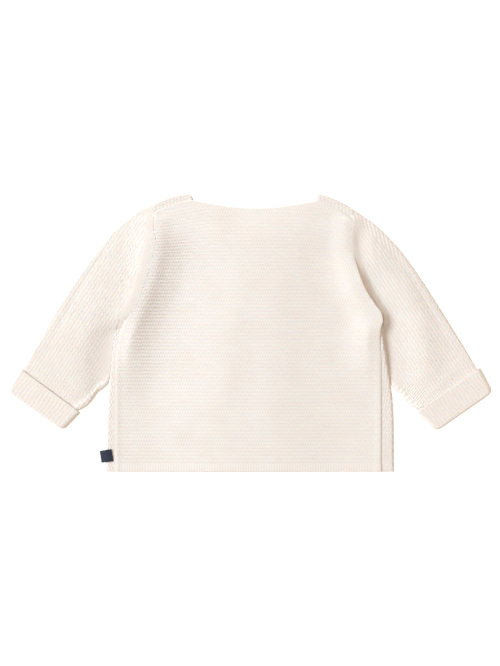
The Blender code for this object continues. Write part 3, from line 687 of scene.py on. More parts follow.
def front_floor(cut, level, flat_share, turn_share, face):
    """The front from its middle edge to its side seam, at each level above the hem."""
    neck_top = shoulder(cut.outline, 0.0, FOLD_DEPTH)[1]
    arm_top = shoulder(cut.outline, 1.0, FOLD_DEPTH)[1]
    tilted = (level - SHOULDER_TILT_FROM) / (neck_top - SHOULDER_TILT_FROM)
    arm_level = np.where(level > SHOULDER_TILT_FROM, mix(SHOULDER_TILT_FROM, arm_top, tilted), level)
    inner = through(cut.neckline, level)
    start = through(cut.side_fold, arm_level) - FOLD_DEPTH
    reach = front_reach(cut, arm_level)
    flat = mix(inner - start, np.minimum(reach, 0.0), flat_share)
    run = np.where(turn_share > 0, turn_share * np.maximum(reach, 0.0) + np.minimum(reach, 0.0), flat)
    offset, height = fold_over(run, face)
    x = start + offset
    along = np.clip((x - inner) / (start + np.minimum(reach, 0.0) - inner), 0.0, 1.0)
    lift = cut.middle_lift * (1 - soft(x, PLACKET_EDGE, cut.lift_end))
    if face > 0:
        height = height - turned_end(reach - run) * (run > FOLD_TURN)
    if cut is FRONT_RIGHT:
        rise = UNDERARM_RISE * soft(height, *UNDERARM_RISE_FROM) * soft(arm_level, *UNDERARM_RISE_ALONG)
        height = height + rise * (run > 0)
    return np.stack([x, mix(level, arm_level, along), height + lift], axis=-1), start + run


def front_shoulder(cut, past, t, face, from_end=END_TURN):
    """The front's shoulder, this far past the start of its fold, at t along it from the neck."""
    offset, height = fold_over(past, face)
    if face > 0:
        height = height - turned_end(from_end)
    x, y = shoulder(cut.outline, t, FOLD_DEPTH - offset)
    return np.stack([x, y, height + 0 * x], axis=-1)


def front_face(cut, face):
    """Points of one face of the front, and each one's place in stitches and in ridges."""
    flat_share = np.append(np.linspace(0, 1, FLAT_COLUMNS), np.ones(TURN_COLUMNS))[None, :]
    turn_share = np.append(np.zeros(FLAT_COLUMNS), np.arange(1, TURN_COLUMNS + 1) / TURN_COLUMNS)[None, :]
    levels = np.arange(HEM_Y, FLOOR_END, BODY_RIDGE / KNIT_STEPS)
    fold_ends = np.arange(UNDERARM[0][0], UNDERARM[-1][0], UNDERARM_STEP)
    levels = np.unique(np.round(np.concatenate([levels, fold_ends, [UNDERARM[-1][0]]]), 3))[:, None]
    floor_part, run = front_floor(cut, levels, flat_share, turn_share, face)
    end = FOLD_TURN + strip_width(cut.outline, flat_share) - FOLD_DEPTH + SEAM_GAP + SEAM_LAP
    start_row = front_shoulder(cut, np.zeros(1), flat_share, face)
    joining = mix(floor_part[-1:], start_row, np.linspace(0, 1, JOINING_ROWS)[1:-1, None, None])
    turned = []
    for share in np.linspace(0, 1, TURNING_ROWS):
        turned.append(front_shoulder(cut, np.full(1, FOLD_TURN * share), flat_share, face))
    for share in np.linspace(0, 1, STRIP_ROWS)[1:]:
        past, left = mix(FOLD_TURN, end, share), (1 - share) * (end - FOLD_TURN)
        turned.append(front_shoulder(cut, past, flat_share, face, left))
    points = np.concatenate([floor_part, joining] + turned)
    stitch = np.concatenate([run, joining[..., 0]] + [row[..., 1] for row in turned]) / BODY_STITCH
    across = np.concatenate([floor_part[..., 1], joining[..., 1]] + [row[..., 0] for row in turned])
    first_turn = len(levels) + len(joining)
    on_shoulder = np.arange(len(points))[:, None] >= first_turn
    return points, stitch, np.where(on_shoulder, across, across - HEM_Y) / BODY_RIDGE, first_turn


def add_front(cut):
    outer, stitch, ridge, first_turn = front_face(cut, 1)
    inner = front_face(cut, -1)[0]
    rows, columns = np.arange(len(stitch))[:, None], np.arange(stitch.shape[1])[None, :]
    edge = 1.0
    for counted in (np.minimum(columns, columns[:, ::-1]), np.minimum(rows, rows[::-1])):
        edge = edge * soft(counted, 0, EDGE_ROWS)
    turning = 1 - TURN_FLATTER * soft(rows - first_turn, *TURN_FLATTER_ROWS)
    height = KNIT_HEIGHT * garter(stitch, ridge) * edge * turning
    on_floor = 1 - soft(outer[..., 2], 0.0, PRESSED)
    height -= KNIT_TOP * on_floor
    from_fold = outer[..., 0] - through(FRONT_FOLD, outer[..., 1])
    height -= FRONT_FOLD_HEIGHT * hump(from_fold, FRONT_FOLD_WIDTH) * on_floor * edge
    for face in (outer, inner):
        face[..., 0] *= cut.outline.sign
    cloth = knit_material(cut.name, FRONT_PAINTED_SHADE)
    piece = add_cloth(cut.name + "_panel", outer, inner, LINING_STEPS, False, (stitch, ridge, height), cloth)
    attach(piece, "root")
    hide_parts(cut.name)


add_front(FRONT_LEFT)
add_front(FRONT_RIGHT)

# ---------------------------------------------------------------- sleeves
# Each sleeve is a flat tube of the same yarn, its ridges running along the arm. It is sewn into the armhole,
# under the back panel's edge, and closed by one seam along its lower edge.

# Painted shade: the sleeves are the same cream knit, painted a little darker over their whole face
SLEEVE_PAINTED_SHADE = (0.99, 0.98, 0.97)
SLEEVE_RIDGE = 3.2
SLEEVE_STITCH = 4.4
SLEEVE_END_HEIGHT = 2 * WALL + 0.4
SLEEVE_EDGE_WALL = WALL + 0.1
SLEEVE_CROWN = 2.3
CROWN_ROUND = 0.7
SLEEVE_SWELL = 26.0
SLEEVE_DIRECTION = (0.553, -0.833)
SLEEVE_IN_CUFF = WALL + SEAM_GAP
SLEEVE_LOW_Y = 1.0
CUFF_HEIGHT = SLEEVE_END_HEIGHT + 2 * (WALL + SEAM_GAP)
BODY_EDGE_CHANGE = (-9.0, 9.0)
RING_STEP = 0.85
ROUND_STEPS = 6
RING_SAMPLES = 81
# The wall is at most this share of the sleeve's height
WALL_SHARE = 0.42
# The knit comes up from the body's edge outwards, and is flat past the cuff's free edge
KNIT_SHOWN = (-1.5, 16.0)
IN_CUFF = (-1.0, 2.0)
# How far each station is raised on its way into the cuff. In it: how far along, and how far in from its edges
STATION_LIFTS = (0.0, 0.0, 0.0, 0.0, 0.0, 0.15, 0.55, 1.0)
CUFF_STATIONS = ((0.06, 1.2), (0.5, 0.4), (1.0, 0.1))
# A long crease under each sleeve's upper edge, with a roll between them
CREASE_START = (125.0, 158.0)
CREASE_WIDTH = 4.5
CREASE_ROLL = 0.4
CREASE_ROLL_WIDTH = 4.0
# The seam along the lower edge is a line of small bumps: how far in, how wide, and how far apart they are
LOWER_SEAM_START = (140.0, 165.0)
LOWER_SEAM_PLACE = 4.5
LOWER_SEAM_WIDTH = 2.4
LOWER_SEAM_STEP = 4.6
LOWER_SEAM_BETWEEN = 0.45
# y between which each sleeve comes up to the panel's face, and how far it dips under the panel's edge there
LEFT_MEETING_FOOT = (-4.0, 16.0)
RIGHT_MEETING_FOOT = (-6.0, 16.0)
MEETING_DIP = 0.12
MEETING_DIP_ACROSS = (-2 * MEETING, 0.3 - MEETING)
# It does so from this far under the panel outwards, but not at the sleeve's own upper and lower edge
MEETING_UNDER = (-10.0, -5.0)
MEETING_AT_TOP = (0.0, 0.1)
MEETING_AT_LOW = (0.95, 1.0)
# Along the right sleeve's upper edge the ridges run up and down: how far in, where they end, step and lean
TICK_BAND = (10.0, 14.0)
TICK_END = (138.0, 158.0)
TICK_STEP = 3.3
TICK_SHARE = 0.45
TICK_LEAN = 0.25
GROOVE_ON_SLEEVE = (3.0, 19.0)
GROOVE_MIDDLE = 6.0
GROOVE_BESIDE = 2.0
UNDER_EDGE = (-2.0, 8.0)
UNDER_PLACE = 1.0
# Hollow of the right sleeve beside the body: depth, how far out from the body's edge, between which heights
ARMPIT_DIP = 1.8
ARMPIT_REACH = (8.0, 46.0)
ARMPIT_WIDENING = 16.0
ARMPIT_HEAD = (40.0, 74.0)
ARMPIT_FOOT = (-66.0, -34.0)
# Soft folds across each sleeve, with x counted outwards
SLEEVE_FOLDS = {
    LEFT: (
        Fold(((-60.0, 176.0), (0.0, 160.0), (60.0, 138.0)), 12.0, 0.5, (-56.0, 56.0), 50.0),
        Fold(((-60.0, 160.0), (-20.0, 178.0)), 12.0, -0.3, (-70.0, -2.0), 32.0),
    ),
    RIGHT: (
        Fold(((-50.0, 152.0), (-10.0, 146.0), (40.0, 128.0)), 12.0, -0.5, (-56.0, 44.0), 46.0),
        Fold(((-60.0, 178.0), (10.0, 164.0), (50.0, 150.0)), 13.0, 0.5, (-60.0, 50.0), 48.0),
    ),
}

# Each station is x, y of the sleeve's upper edge and of its lower edge, and how much of the armhole's bend it
# keeps
SleeveCut = namedtuple("SleeveCut", "name outline side_fold stations cuff_free cuff_end crease crease_depth")
SLEEVE_LEFT = SleeveCut(
    name="sleeve_left",
    outline=LEFT,
    side_fold=FRONT_LEFT.side_fold,
    stations=(
        (104.5, 119.4, 130.2, 0.6, 0.8), (117.0, 110.8, 132.6, -14.0, 0.4),
        (132.0, 98.2, 134.6, -34.0, 0.2), (148.5, 77.8, 137.4, -50.0, 0.0),
        (168.6, 50.4, 147.1, -59.1, 0.0), (187.7, 21.3, 152.0, -66.0, 0.0),
        (202.5, -4.5, 156.6, -71.0, 0.0), (211.8, -22.0, 161.2, -74.3, 0.0),
    ),
    cuff_free=((223.6, -34.4), (163.8, -78.4)),
    cuff_end=((236.0, -57.0), (180.5, -95.9)),
    crease=((120.0, 7.0), (160.0, 10.0), (190.0, 13.0), (212.0, 14.5)),
    crease_depth=0.25,
)
SLEEVE_RIGHT = SleeveCut(
    name="sleeve_right",
    outline=RIGHT,
    side_fold=FRONT_RIGHT.side_fold,
    stations=(
        (109.6, 112.9, 127.0, 0.6, 0.8), (119.6, 105.9, 129.8, -14.0, 0.5),
        (132.4, 94.0, 133.0, -34.0, 0.2), (146.2, 79.0, 136.8, -50.5, 0.0),
        (166.9, 50.4, 146.4, -61.0, 0.0), (185.5, 21.3, 151.4, -67.5, 0.0),
        (202.2, -5.5, 155.6, -72.0, 0.0), (211.8, -21.5, 159.8, -74.6, 0.0),
    ),
    cuff_free=((223.4, -34.4), (161.6, -77.8)),
    cuff_end=((236.0, -58.0), (180.2, -96.8)),
    crease=((120.0, 9.0), (160.0, 11.0), (190.0, 12.0), (212.0, 13.0)),
    crease_depth=0.3,
)


def body_edge(cut, y):
    """x of the body's outer edge, which the sleeve lies beside or under."""
    return mix(through(cut.side_fold, y), through(cut.outline.edge, y), soft(y, *BODY_EDGE_CHANGE))


def cuff_point(cut, edge, along, inwards):
    """A point on the cuff's upper edge, 0, or its lower one, 1: along it from its free edge, and inwards."""
    free, far = np.array(cut.cuff_free[edge]), np.array(cut.cuff_end[edge])
    across = np.subtract(cut.cuff_end[1], cut.cuff_end[0])
    place = mix(free, far, along / math.dist(free, far))
    return place + across / np.hypot(*across) * inwards * (1, -1)[edge]


def cuff_depth(cut):
    """Length of the cuff to the start of its turn, at its upper and its lower edge."""
    return np.array([math.dist(*ends) - WALL - SEAM_GAP / 2 for ends in zip(cut.cuff_free, cut.cuff_end)])


def across_ridges(direction, x, y):
    """How far a point lies across the ridges, counted from the upper edge's side to the lower edge's."""
    return (x * direction[1] - y * direction[0]) / math.hypot(*direction)


def along_ridges(direction, x, y):
    return (x * direction[0] + y * direction[1]) / math.hypot(*direction)


def sleeve_edges(cut):
    """The sleeve's upper and lower edge from the armhole to the fold of its cuff, with each ring's form."""
    side = cut.outline
    top_y, low_y = side.root[-1][0], SLEEVE_LOW_Y
    rows = []
    for number, (table, outwards) in enumerate(((side.root, 0.0), (side.edge, 1.0))):
        upper = (through(table, top_y) + outwards, top_y)
        lower = (through(table, low_y) + outwards, low_y)
        rows.append((*upper, *lower, 1.0 - number, float(number), 0.0))
    for station, lifted in zip(cut.stations, STATION_LIFTS):
        rows.append((*station[:4], 0.0, station[4], SLEEVE_IN_CUFF * lifted))
    depths = cuff_depth(cut) - SEAM_GAP
    for share, extra in CUFF_STATIONS:
        points = [cuff_point(cut, edge, share * depths[edge], SLEEVE_IN_CUFF + extra) for edge in (0, 1)]
        rows.append((*points[0], *points[1], 0.0, 0.0, SLEEVE_IN_CUFF))
    rows = np.array(rows)
    middles = (rows[:, :2] + rows[:, 2:4]) / 2
    length = np.concatenate([[0.0], np.cumsum(np.hypot(*np.diff(middles, axis=0).T))])
    places = np.unique(np.concatenate([np.arange(0.0, length[-1], RING_STEP), length[[1, -1]]]))
    columns = []
    for number in range(rows.shape[1]):
        read = through if number < 4 else lambda table, at: np.interp(at, *np.array(table).T)
        columns.append(read(np.stack([length, rows[:, number]], axis=1), places))
    columns = np.array(columns)
    early = places < length[1]
    for number in range(4):
        columns[number, early] = np.interp(places[early], length[:2], rows[:2, number])
    return columns.T


def bends(cut, t):
    """How far the armhole's root and its edge bow outwards from a straight line at t."""
    side = cut.outline
    top_y, low_y = side.root[-1][0], SLEEVE_LOW_Y
    found = []
    for table in (side.root, side.edge):
        ends = [through(table, np.array(level)) for level in (top_y, low_y)]
        found.append(through(table, mix(top_y, low_y, t)) - mix(*ends, t))
    return found


def plan_points(cut, ring, t, inset=0.0):
    """Points of one ring's line on the plan, at t from its upper edge to its lower one."""
    upper, lower = ring[:2], ring[2:4]
    length = math.dist(upper, lower)
    at = inset / length + t * (1 - 2 * inset / length)
    of_root, of_edge = bends(cut, t)
    x = mix(upper[0], lower[0], at) + ring[4] * of_root + ring[5] * of_edge
    return x, mix(upper[1], lower[1], at)


def sleeve_top(cut, ring, x, y, t):
    """Height of the sleeve's outer face above the surface, without its knit."""
    lift = ring[6]
    outside = x - body_edge(cut, y)
    swell = SLEEVE_SWELL
    if cut.outline is RIGHT:
        swell = swell + ARMPIT_WIDENING * (1 - soft(y, *ARMPIT_HEAD))
    clear = soft(outside / swell, 0.0, 1.0)
    out_of_cuff = 1 - soft(lift, 0.0, SLEEVE_IN_CUFF)
    crown = SLEEVE_CROWN * clear * np.maximum(np.sin(np.pi * t), 0.0) ** CROWN_ROUND * out_of_cuff
    from_upper = t * math.dist(ring[:2], ring[2:4])
    middle = through(cut.crease, ring[0])
    crease = cut.crease_depth * soft(ring[0], *CREASE_START)
    roll = CREASE_ROLL * crease * hump(from_upper - 0.5 * middle, CREASE_ROLL_WIDTH)
    crease = crease * hump(from_upper - middle, CREASE_WIDTH)
    low = SLEEVE_END_HEIGHT + lift
    folds = folds_height(SLEEVE_FOLDS[cut.outline], x, y)
    own = crown + folds * clear + (roll - crease) * out_of_cuff
    edge = through(cut.outline.edge, y)
    meeting = back_face(cut.outline.sign * (edge - MEETING), y) - low
    meeting = meeting - MEETING_DIP * (1 - soft(x - edge, *MEETING_DIP_ACROSS))
    if cut.outline is LEFT:
        met = soft(y, *LEFT_MEETING_FOOT) * (1 - soft(outside, *ROLL_ON_SLEEVE))
    else:
        blended = soft(y, *RIGHT_BLEND)
        under = back_face(edge - UNDER_PLACE, y) - WALL - low - SEAM_GAP
        meeting = mix(under, meeting, blended)
        met = 1 - mix(soft(outside, *UNDER_EDGE), soft(outside, *GROOVE_ON_SLEEVE), blended)
        met = met * soft(y, *RIGHT_MEETING_FOOT)
        hollow = (1 - soft(outside, *ARMPIT_REACH)) * between(y, ARMPIT_FOOT, ARMPIT_HEAD)
        own = own - ARMPIT_DIP * hollow
        beside = between(outside, (-MEETING, GROOVE_MIDDLE), (GROOVE_MIDDLE, GROOVE_ON_SLEEVE[1]))
        low = low - GROOVE_BESIDE * beside * blended * (1 - soft(y, *GROOVE_HEAD))
    met = met * soft(x - edge, *MEETING_UNDER) * soft(t, *MEETING_AT_TOP) * (1 - soft(t, *MEETING_AT_LOW))
    return low + mix(own, meeting, met * out_of_cuff)


def ring_points(at_rim, lines, across, samples):
    """t of each point round a flat ring with rounded rims, and how far up or down it has turned there.

    The ring runs from its upper edge over the top to its lower edge, and back underneath. across holds how
    far each sample of t lies across the ridges.
    """
    tops = np.clip(np.interp(lines, across, samples), at_rim, 1 - at_rim)
    quarter = np.linspace(0.0, 0.5 * np.pi, ROUND_STEPS + 1)[:-1]
    rim, up, level = at_rim * (1 - np.cos(quarter)), np.sin(quarter), np.ones(len(tops))
    t = np.concatenate([rim, tops, 1 - rim[::-1], 1 - rim[1:], tops[::-1], rim[::-1]])
    return t, np.concatenate([up, level, up[::-1], -up[1:], -level, -up[::-1]])


def ridge_lines(direction, corners, step):
    """How far across the ridges each line of the mesh lies, past all the corners."""
    spread = across_ridges(direction, corners[:, 0], corners[:, 1])
    return np.arange(math.floor(spread.min() / step), math.ceil(spread.max() / step) + 1) * step


def closed(rings):
    """Rings that end at their first point again."""
    rings = np.array(rings)
    return np.concatenate([rings, rings[:, :1]], axis=1)


def add_sleeve(cut):
    rings = sleeve_edges(cut)
    corners = np.concatenate([rings[:, :2], rings[:, 2:4]])
    lines = ridge_lines(SLEEVE_DIRECTION, corners, SLEEVE_RIDGE / KNIT_STEPS)
    rounding = SLEEVE_END_HEIGHT / 2
    samples = np.linspace(0.0, 1.0, RING_SAMPLES)
    outer, inner, turned, shares = [], [], [], []
    for ring in rings:
        across = across_ridges(SLEEVE_DIRECTION, *plan_points(cut, ring, samples))
        t, rise = ring_points(rounding / math.dist(ring[:2], ring[2:4]), lines, across, samples)
        x, y = plan_points(cut, ring, t)
        top, low = sleeve_top(cut, ring, x, y, t), ring[6]
        wall = np.minimum(WALL, WALL_SHARE * (top - low))
        for face, thickness, inset in ((outer, 0.0, 0.0), (inner, wall, SLEEVE_EDGE_WALL)):
            x, y = plan_points(cut, ring, t, inset)
            ends = np.where(rise > 0, top - thickness, low + thickness)
            face.append(np.stack([x, y, mix(low + rounding, ends, np.abs(rise))], axis=-1))
        turned.append(rise)
        shares.append(t)
    outer, inner, turned, shares = (closed(part) for part in (outer, inner, turned, shares))
    x, y = outer[..., 0], outer[..., 1]
    along = along_ridges(SLEEVE_DIRECTION, x, y)
    stitch, ridge = along / SLEEVE_STITCH, across_ridges(SLEEVE_DIRECTION, x, y) / SLEEVE_RIDGE
    past = (rings[:, :2] + rings[:, 2:4]) / 2 - np.mean(cut.cuff_free, axis=0)
    in_cuff = soft(along_ridges(SLEEVE_DIRECTION, *past.T), *IN_CUFF)[:, None]
    shown = soft(x - body_edge(cut, y), *KNIT_SHOWN) * (1 - in_cuff)
    relief = garter(stitch, ridge)
    width = np.hypot(rings[:, 0] - rings[:, 2], rings[:, 1] - rings[:, 3])[:, None]
    if cut.outline is RIGHT:
        band = (1 - soft(shares * width, *TICK_BAND)) * (1 - soft(x, *TICK_END)) * (turned > 0)
        ticks = TICK_SHARE * np.cos(2 * np.pi * (x + TICK_LEAN * y) / TICK_STEP)
        relief = mix(relief, ticks, band)
        shown = np.maximum(shown, band)
    height = KNIT_HEIGHT * relief * np.abs(turned) ** 2 * np.where(turned > 0, shown, 1 - in_cuff)
    height -= KNIT_TOP * np.where(turned < 0, -turned, 0.0)
    seam = soft(rings[:, 0], *LOWER_SEAM_START)[:, None] * (1 - in_cuff) * (turned > 0)
    bumps = 0.5 + 0.5 * np.cos(2 * np.pi * along / LOWER_SEAM_STEP)
    seam = seam * hump((1 - shares) * width - LOWER_SEAM_PLACE, LOWER_SEAM_WIDTH)
    height += seam * mix(LOWER_SEAM_BETWEEN, 1.0, bumps)
    for face in (outer, inner):
        face[..., 0] *= cut.outline.sign
    cloth = knit_material(cut.name, SLEEVE_PAINTED_SHADE)
    piece = add_cloth(cut.name + "_tube", outer, inner, LINING_STEPS, True, (stitch, ridge, height), cloth)
    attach(piece, "root")
    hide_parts(cut.name)


add_sleeve(SLEEVE_LEFT)
add_sleeve(SLEEVE_RIGHT)

# ---------------------------------------------------------------- cuffs
# The sleeve's own end, turned back over it to show the other side of the knit. Its cast-off edge lies free
# on the sleeve, and its outer end is the fold.

# Painted shade: the cuffs are the same cream knit, painted a little darker over their whole face
CUFF_PAINTED_SHADE = (0.99, 0.98, 0.97)
CUFF_RIDGE = 3.65
CUFF_STITCH = 4.4
CUFF_STEPS = 6
CUFF_LINING_STEPS = (6, 8)
CUFF_ROWS = 40
CUFF_TURN_ROWS = 13
CUFF_KNIT = 0.09
# How much of its relief is in the ridges themselves, and how far these sway
CUFF_CREST = 0.75
CUFF_SWAY = 0.15
CUFF_SWAY_LENGTH = 26.0
# Radius of the cuff's outer corners, and how round they are, from 0 to 1
CUFF_CORNER = 5.5
CORNER_ROUND = 0.96
CUFF_DIRECTION = (0.60, -0.80)
# Rows past the start of the turn in which the knit fades out
CUFF_FADE = (5, 9)


def corner_inset(from_end):
    """How far the cuff's rounded corners lie in from its edges, this far from its outer end."""
    left = np.clip(CUFF_CORNER - from_end, 0.0, CUFF_CORNER)
    return CUFF_CORNER - np.sqrt(CUFF_CORNER**2 - CORNER_ROUND * left**2)


def cuff_faces(cut, along, inwards, lines):
    """x, y, z and turn of each point of the cuff's rings."""
    ends = cuff_depth(cut) + WALL + SEAM_GAP / 2
    samples = np.linspace(0.0, 1.0, 5)
    points, turned = [], []
    for reach, depth in zip(along, inwards):
        insets = depth + corner_inset(ends - reach)
        upper, lower = (cuff_point(cut, edge, reach[edge], insets[edge]) for edge in (0, 1))
        rounding = CUFF_HEIGHT / 2 - depth
        across = across_ridges(CUFF_DIRECTION, *(mix(*pair, samples) for pair in zip(upper, lower)))
        t, rise = ring_points(rounding / math.dist(upper, lower), lines, across, samples)
        x, y = (mix(*pair, t) for pair in zip(upper, lower))
        points.append(np.stack([x, y, CUFF_HEIGHT / 2 + rounding * rise], axis=-1))
        turned.append(rise)
    return closed(points), closed(turned)


def add_cuff(cut, name):
    depths = cuff_depth(cut)
    turn_middle = WALL + SEAM_GAP / 2
    straight = np.linspace(0.0, 1.0, CUFF_ROWS)[:, None] * depths
    angles = np.linspace(0.0, np.pi, CUFF_TURN_ROWS)[1:]
    corners = np.array(cut.cuff_free + cut.cuff_end)
    lines = ridge_lines(CUFF_DIRECTION, corners, CUFF_RIDGE / CUFF_STEPS)
    faces = []
    for inset, radius in ((0.0, turn_middle), (WALL, SEAM_GAP / 2)):
        along = np.concatenate([straight, depths + radius * np.sin(angles)[:, None]])
        inwards = np.concatenate([np.full(CUFF_ROWS, inset), turn_middle - radius * np.cos(angles)])
        faces.append(cuff_faces(cut, along, inwards, lines))
    (outer, turned), (inner, _) = faces
    x, y = outer[..., 0], outer[..., 1]
    along = along_ridges(CUFF_DIRECTION, x, y)
    stitch, ridge = along / CUFF_STITCH, across_ridges(CUFF_DIRECTION, x, y) / CUFF_RIDGE
    row = np.arange(len(outer))[:, None]
    fading = 1 - soft(row - CUFF_ROWS, *CUFF_FADE)
    swaying = CUFF_SWAY * np.sin(2 * np.pi * along / CUFF_SWAY_LENGTH + ridge / 2)
    relief = mix(garter(stitch, ridge), np.cos(2 * np.pi * (ridge - swaying)), CUFF_CREST)
    height = CUFF_KNIT * relief * np.abs(turned) ** 2 * soft(row, 0, 2) * fading
    height -= KNIT_HEIGHT * np.where(turned < 0, -turned, 0.0) * fading
    for face in (outer, inner):
        face[..., 0] *= cut.outline.sign
    cloth = knit_material(name, CUFF_PAINTED_SHADE)
    knit = (stitch, ridge, height)
    piece = add_cloth(name + "_turnup", outer, inner, CUFF_LINING_STEPS, True, knit, cloth)
    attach(piece, "root")
    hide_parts(name)


add_cuff(SLEEVE_LEFT, "cuff_left")
add_cuff(SLEEVE_RIGHT, "cuff_right")

# ---------------------------------------------------------------- label
# A small woven navy tab, folded at its outer end and caught in the left side seam near the hem. It lies on
# the front's folded side, and its end hangs a little over it.

TAB_NAVY = (0.004, 0.007, 0.022)
TAB_SHINE = (0.009, 0.015, 0.045)
TAB_PLY = 0.34
TAB_PLY_STEP = 0.42
TAB_SEAM_X = -132.5
TAB_ENDS = (-125.4, -113.6)
TAB_TURN = math.radians(9.0)
# Distance out from the seam, height of the middle of the lower ply
TAB_FALL = ((0.6, 5.3), (4.0, 5.3), (6.5, 5.0), (9.0, 4.2), (12.0, 3.0))
TAB_FOLD = 0.25
TAB_SMOOTHING = 3
TAB_EDGE = 0.08
TAB_SMOOTH_ANGLE = math.radians(40.0)


def metres(*sizes):
    return [size * MM for size in sizes]


def apply_all(piece):
    """Applies the piece's modifiers and its place."""
    for modifier in list(piece.modifiers):
        bpy.ops.object.modifier_apply(modifier=modifier.name)
    bpy.ops.object.transform_apply(location=True, rotation=True, scale=True)


def choose(piece, wanted, kind="VERT"):
    """In edit mode, selects the points or the faces that are wanted, and no others."""
    bpy.ops.mesh.select_mode(type=kind)
    bpy.ops.mesh.select_all(action="DESELECT")
    bpy.ops.object.mode_set(mode="OBJECT")
    for part in piece.data.vertices if kind == "VERT" else piece.data.polygons:
        part.select = wanted(part)
    bpy.ops.object.mode_set(mode="EDIT")


def tab_material():
    """Navy polyester satin with a fine twill line."""
    made, shader = new_look("navy woven tab")
    on_piece = add_node(made, "TexCoord", {}, {}).outputs["Object"]
    twill = add_node(made, "TexWave", {"Scale": 420.0, "Distortion": 0.6}, {"Vector": on_piece})
    twill.bands_direction = "DIAGONAL"
    dye = add_ramp(made, twill.outputs["Fac"], (0.0, TAB_NAVY), (1.0, TAB_SHINE))
    feed(made, shader, {"Base Color": dye})
    add_bump(made, shader, twill.outputs["Fac"], 0.5, 0.08)
    set_values(shader, {"Roughness": 0.7, "Sheen Weight": 0.1})
    return made


def add_tab():
    upper = [(out, height + TAB_PLY_STEP) for out, height in reversed(TAB_FALL)]
    fold = (TAB_FALL[-1][0] + TAB_FOLD, TAB_FALL[-1][1] + TAB_PLY_STEP / 2)
    route = np.array([*TAB_FALL, fold, *upper])
    width = TAB_ENDS[1] - TAB_ENDS[0]
    first, second = route[:2]
    bpy.ops.object.select_all(action="DESELECT")
    start = (TAB_SEAM_X - (first[0] + second[0]) / 2, sum(TAB_ENDS) / 2, (first[1] + second[1]) / 2)
    bpy.ops.mesh.primitive_plane_add(size=MM, location=metres(*start))
    piece = bpy.context.active_object
    piece.name = "woven_tab"
    bpy.ops.object.mode_set(mode="EDIT")
    bpy.ops.transform.resize(value=(second[0] - first[0], width, 1.0))
    choose(piece, lambda point: point.co.x < 0)
    for before, after in zip(route[1:], route[2:]):
        out, up = after - before
        bpy.ops.mesh.extrude_edges_move(TRANSFORM_OT_translate={"value": metres(-out, 0.0, up)})
    bpy.ops.object.mode_set(mode="OBJECT")
    smooth = piece.modifiers.new("smooth", "SUBSURF")
    smooth.levels = smooth.render_levels = TAB_SMOOTHING
    smooth.boundary_smooth = "PRESERVE_CORNERS"
    ply = piece.modifiers.new("ply", "SOLIDIFY")
    ply.thickness = TAB_PLY * MM
    ply.offset = 0.0
    soft_edge = piece.modifiers.new("soft edge", "BEVEL")
    soft_edge.width = TAB_EDGE * MM
    soft_edge.segments = 2
    piece.rotation_euler.z = TAB_TURN
    apply_all(piece)
    bpy.ops.object.shade_smooth_by_angle(angle=TAB_SMOOTH_ANGLE)
    piece.data.materials.append(tab_material())
    return piece


tab = add_tab()
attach(tab, "root")
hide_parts("label")

# ---------------------------------------------------------------- buttons
# Five pale shell buttons down the front that laps over, each with a raised rim and four holes. Two loops of
# cotton thread hold each to the other front, through a worked buttonhole.

BUTTON_X = 0.5
BUTTON_LEVELS = (70.0, 24.0, -22.0, -68.0, -114.0)
BUTTON_RADIUS = 6.0
BUTTON_SIDE = (0.5, 1.15)
# For the upper and the lower face: how far in each ring lies from the last one, and how far up it is from it
BUTTON_UPPER = ((1.2, 0.45), (0.8, -0.35))
BUTTON_LOWER = ((1.1, -0.5), (1.1, 0.45))
BUTTON_EDGE = 0.14
BUTTON_EDGE_ANGLE = math.radians(12.0)
HOLE_PLACE = 0.95
HOLE_RADIUS = 0.5
HOLE_HEIGHT = 0.8
HOLE_CUT = 3.0
SMOOTH_ANGLE = math.radians(35.0)
THREAD = 0.2
THREAD_HEIGHT = 0.85
THREAD_SIZE = (1.0, 1.0, 0.58)
BUTTONHOLE_X = 1.6
BUTTONHOLE_HEIGHT = 1.85
BUTTONHOLE_THREAD = 0.35
BUTTONHOLE_RADIUS = 2.0
# How many times as long, as wide and as high the worked ring is as a round one
BUTTONHOLE_SIZE = (3.35, 0.65, 0.6)


def clouded_material(name, first, last, scale, roughness, grain):
    """A clouded colour with a fine grain."""
    made, shader = new_look(name)
    on_piece = add_node(made, "TexCoord", {}, {}).outputs["Object"]
    clouds = {"Scale": scale, "Detail": 4.0, "Distortion": 0.8}
    cloud = add_node(made, "TexNoise", clouds, {"Vector": on_piece}).outputs["Fac"]
    feed(made, shader, {"Base Color": add_ramp(made, cloud, (0.35, first), (0.65, last))})
    add_bump(made, shader, cloud, 0.4, grain)
    set_values(shader, {"Roughness": roughness})
    return made


def finished(piece, look):
    apply_all(piece)
    bpy.ops.object.shade_smooth_by_angle(angle=SMOOTH_ANGLE)
    piece.data.materials.append(look)
    return piece


def copied_down(piece, drop):
    """A copy of a finished piece with its own mesh, this far further down the front."""
    bpy.ops.object.select_all(action="DESELECT")
    piece.select_set(True)
    bpy.context.view_layer.objects.active = piece
    bpy.ops.object.duplicate()
    copy = bpy.context.active_object
    copy.location.y = -drop * MM
    bpy.ops.object.transform_apply(location=True, rotation=True, scale=True)
    return copy


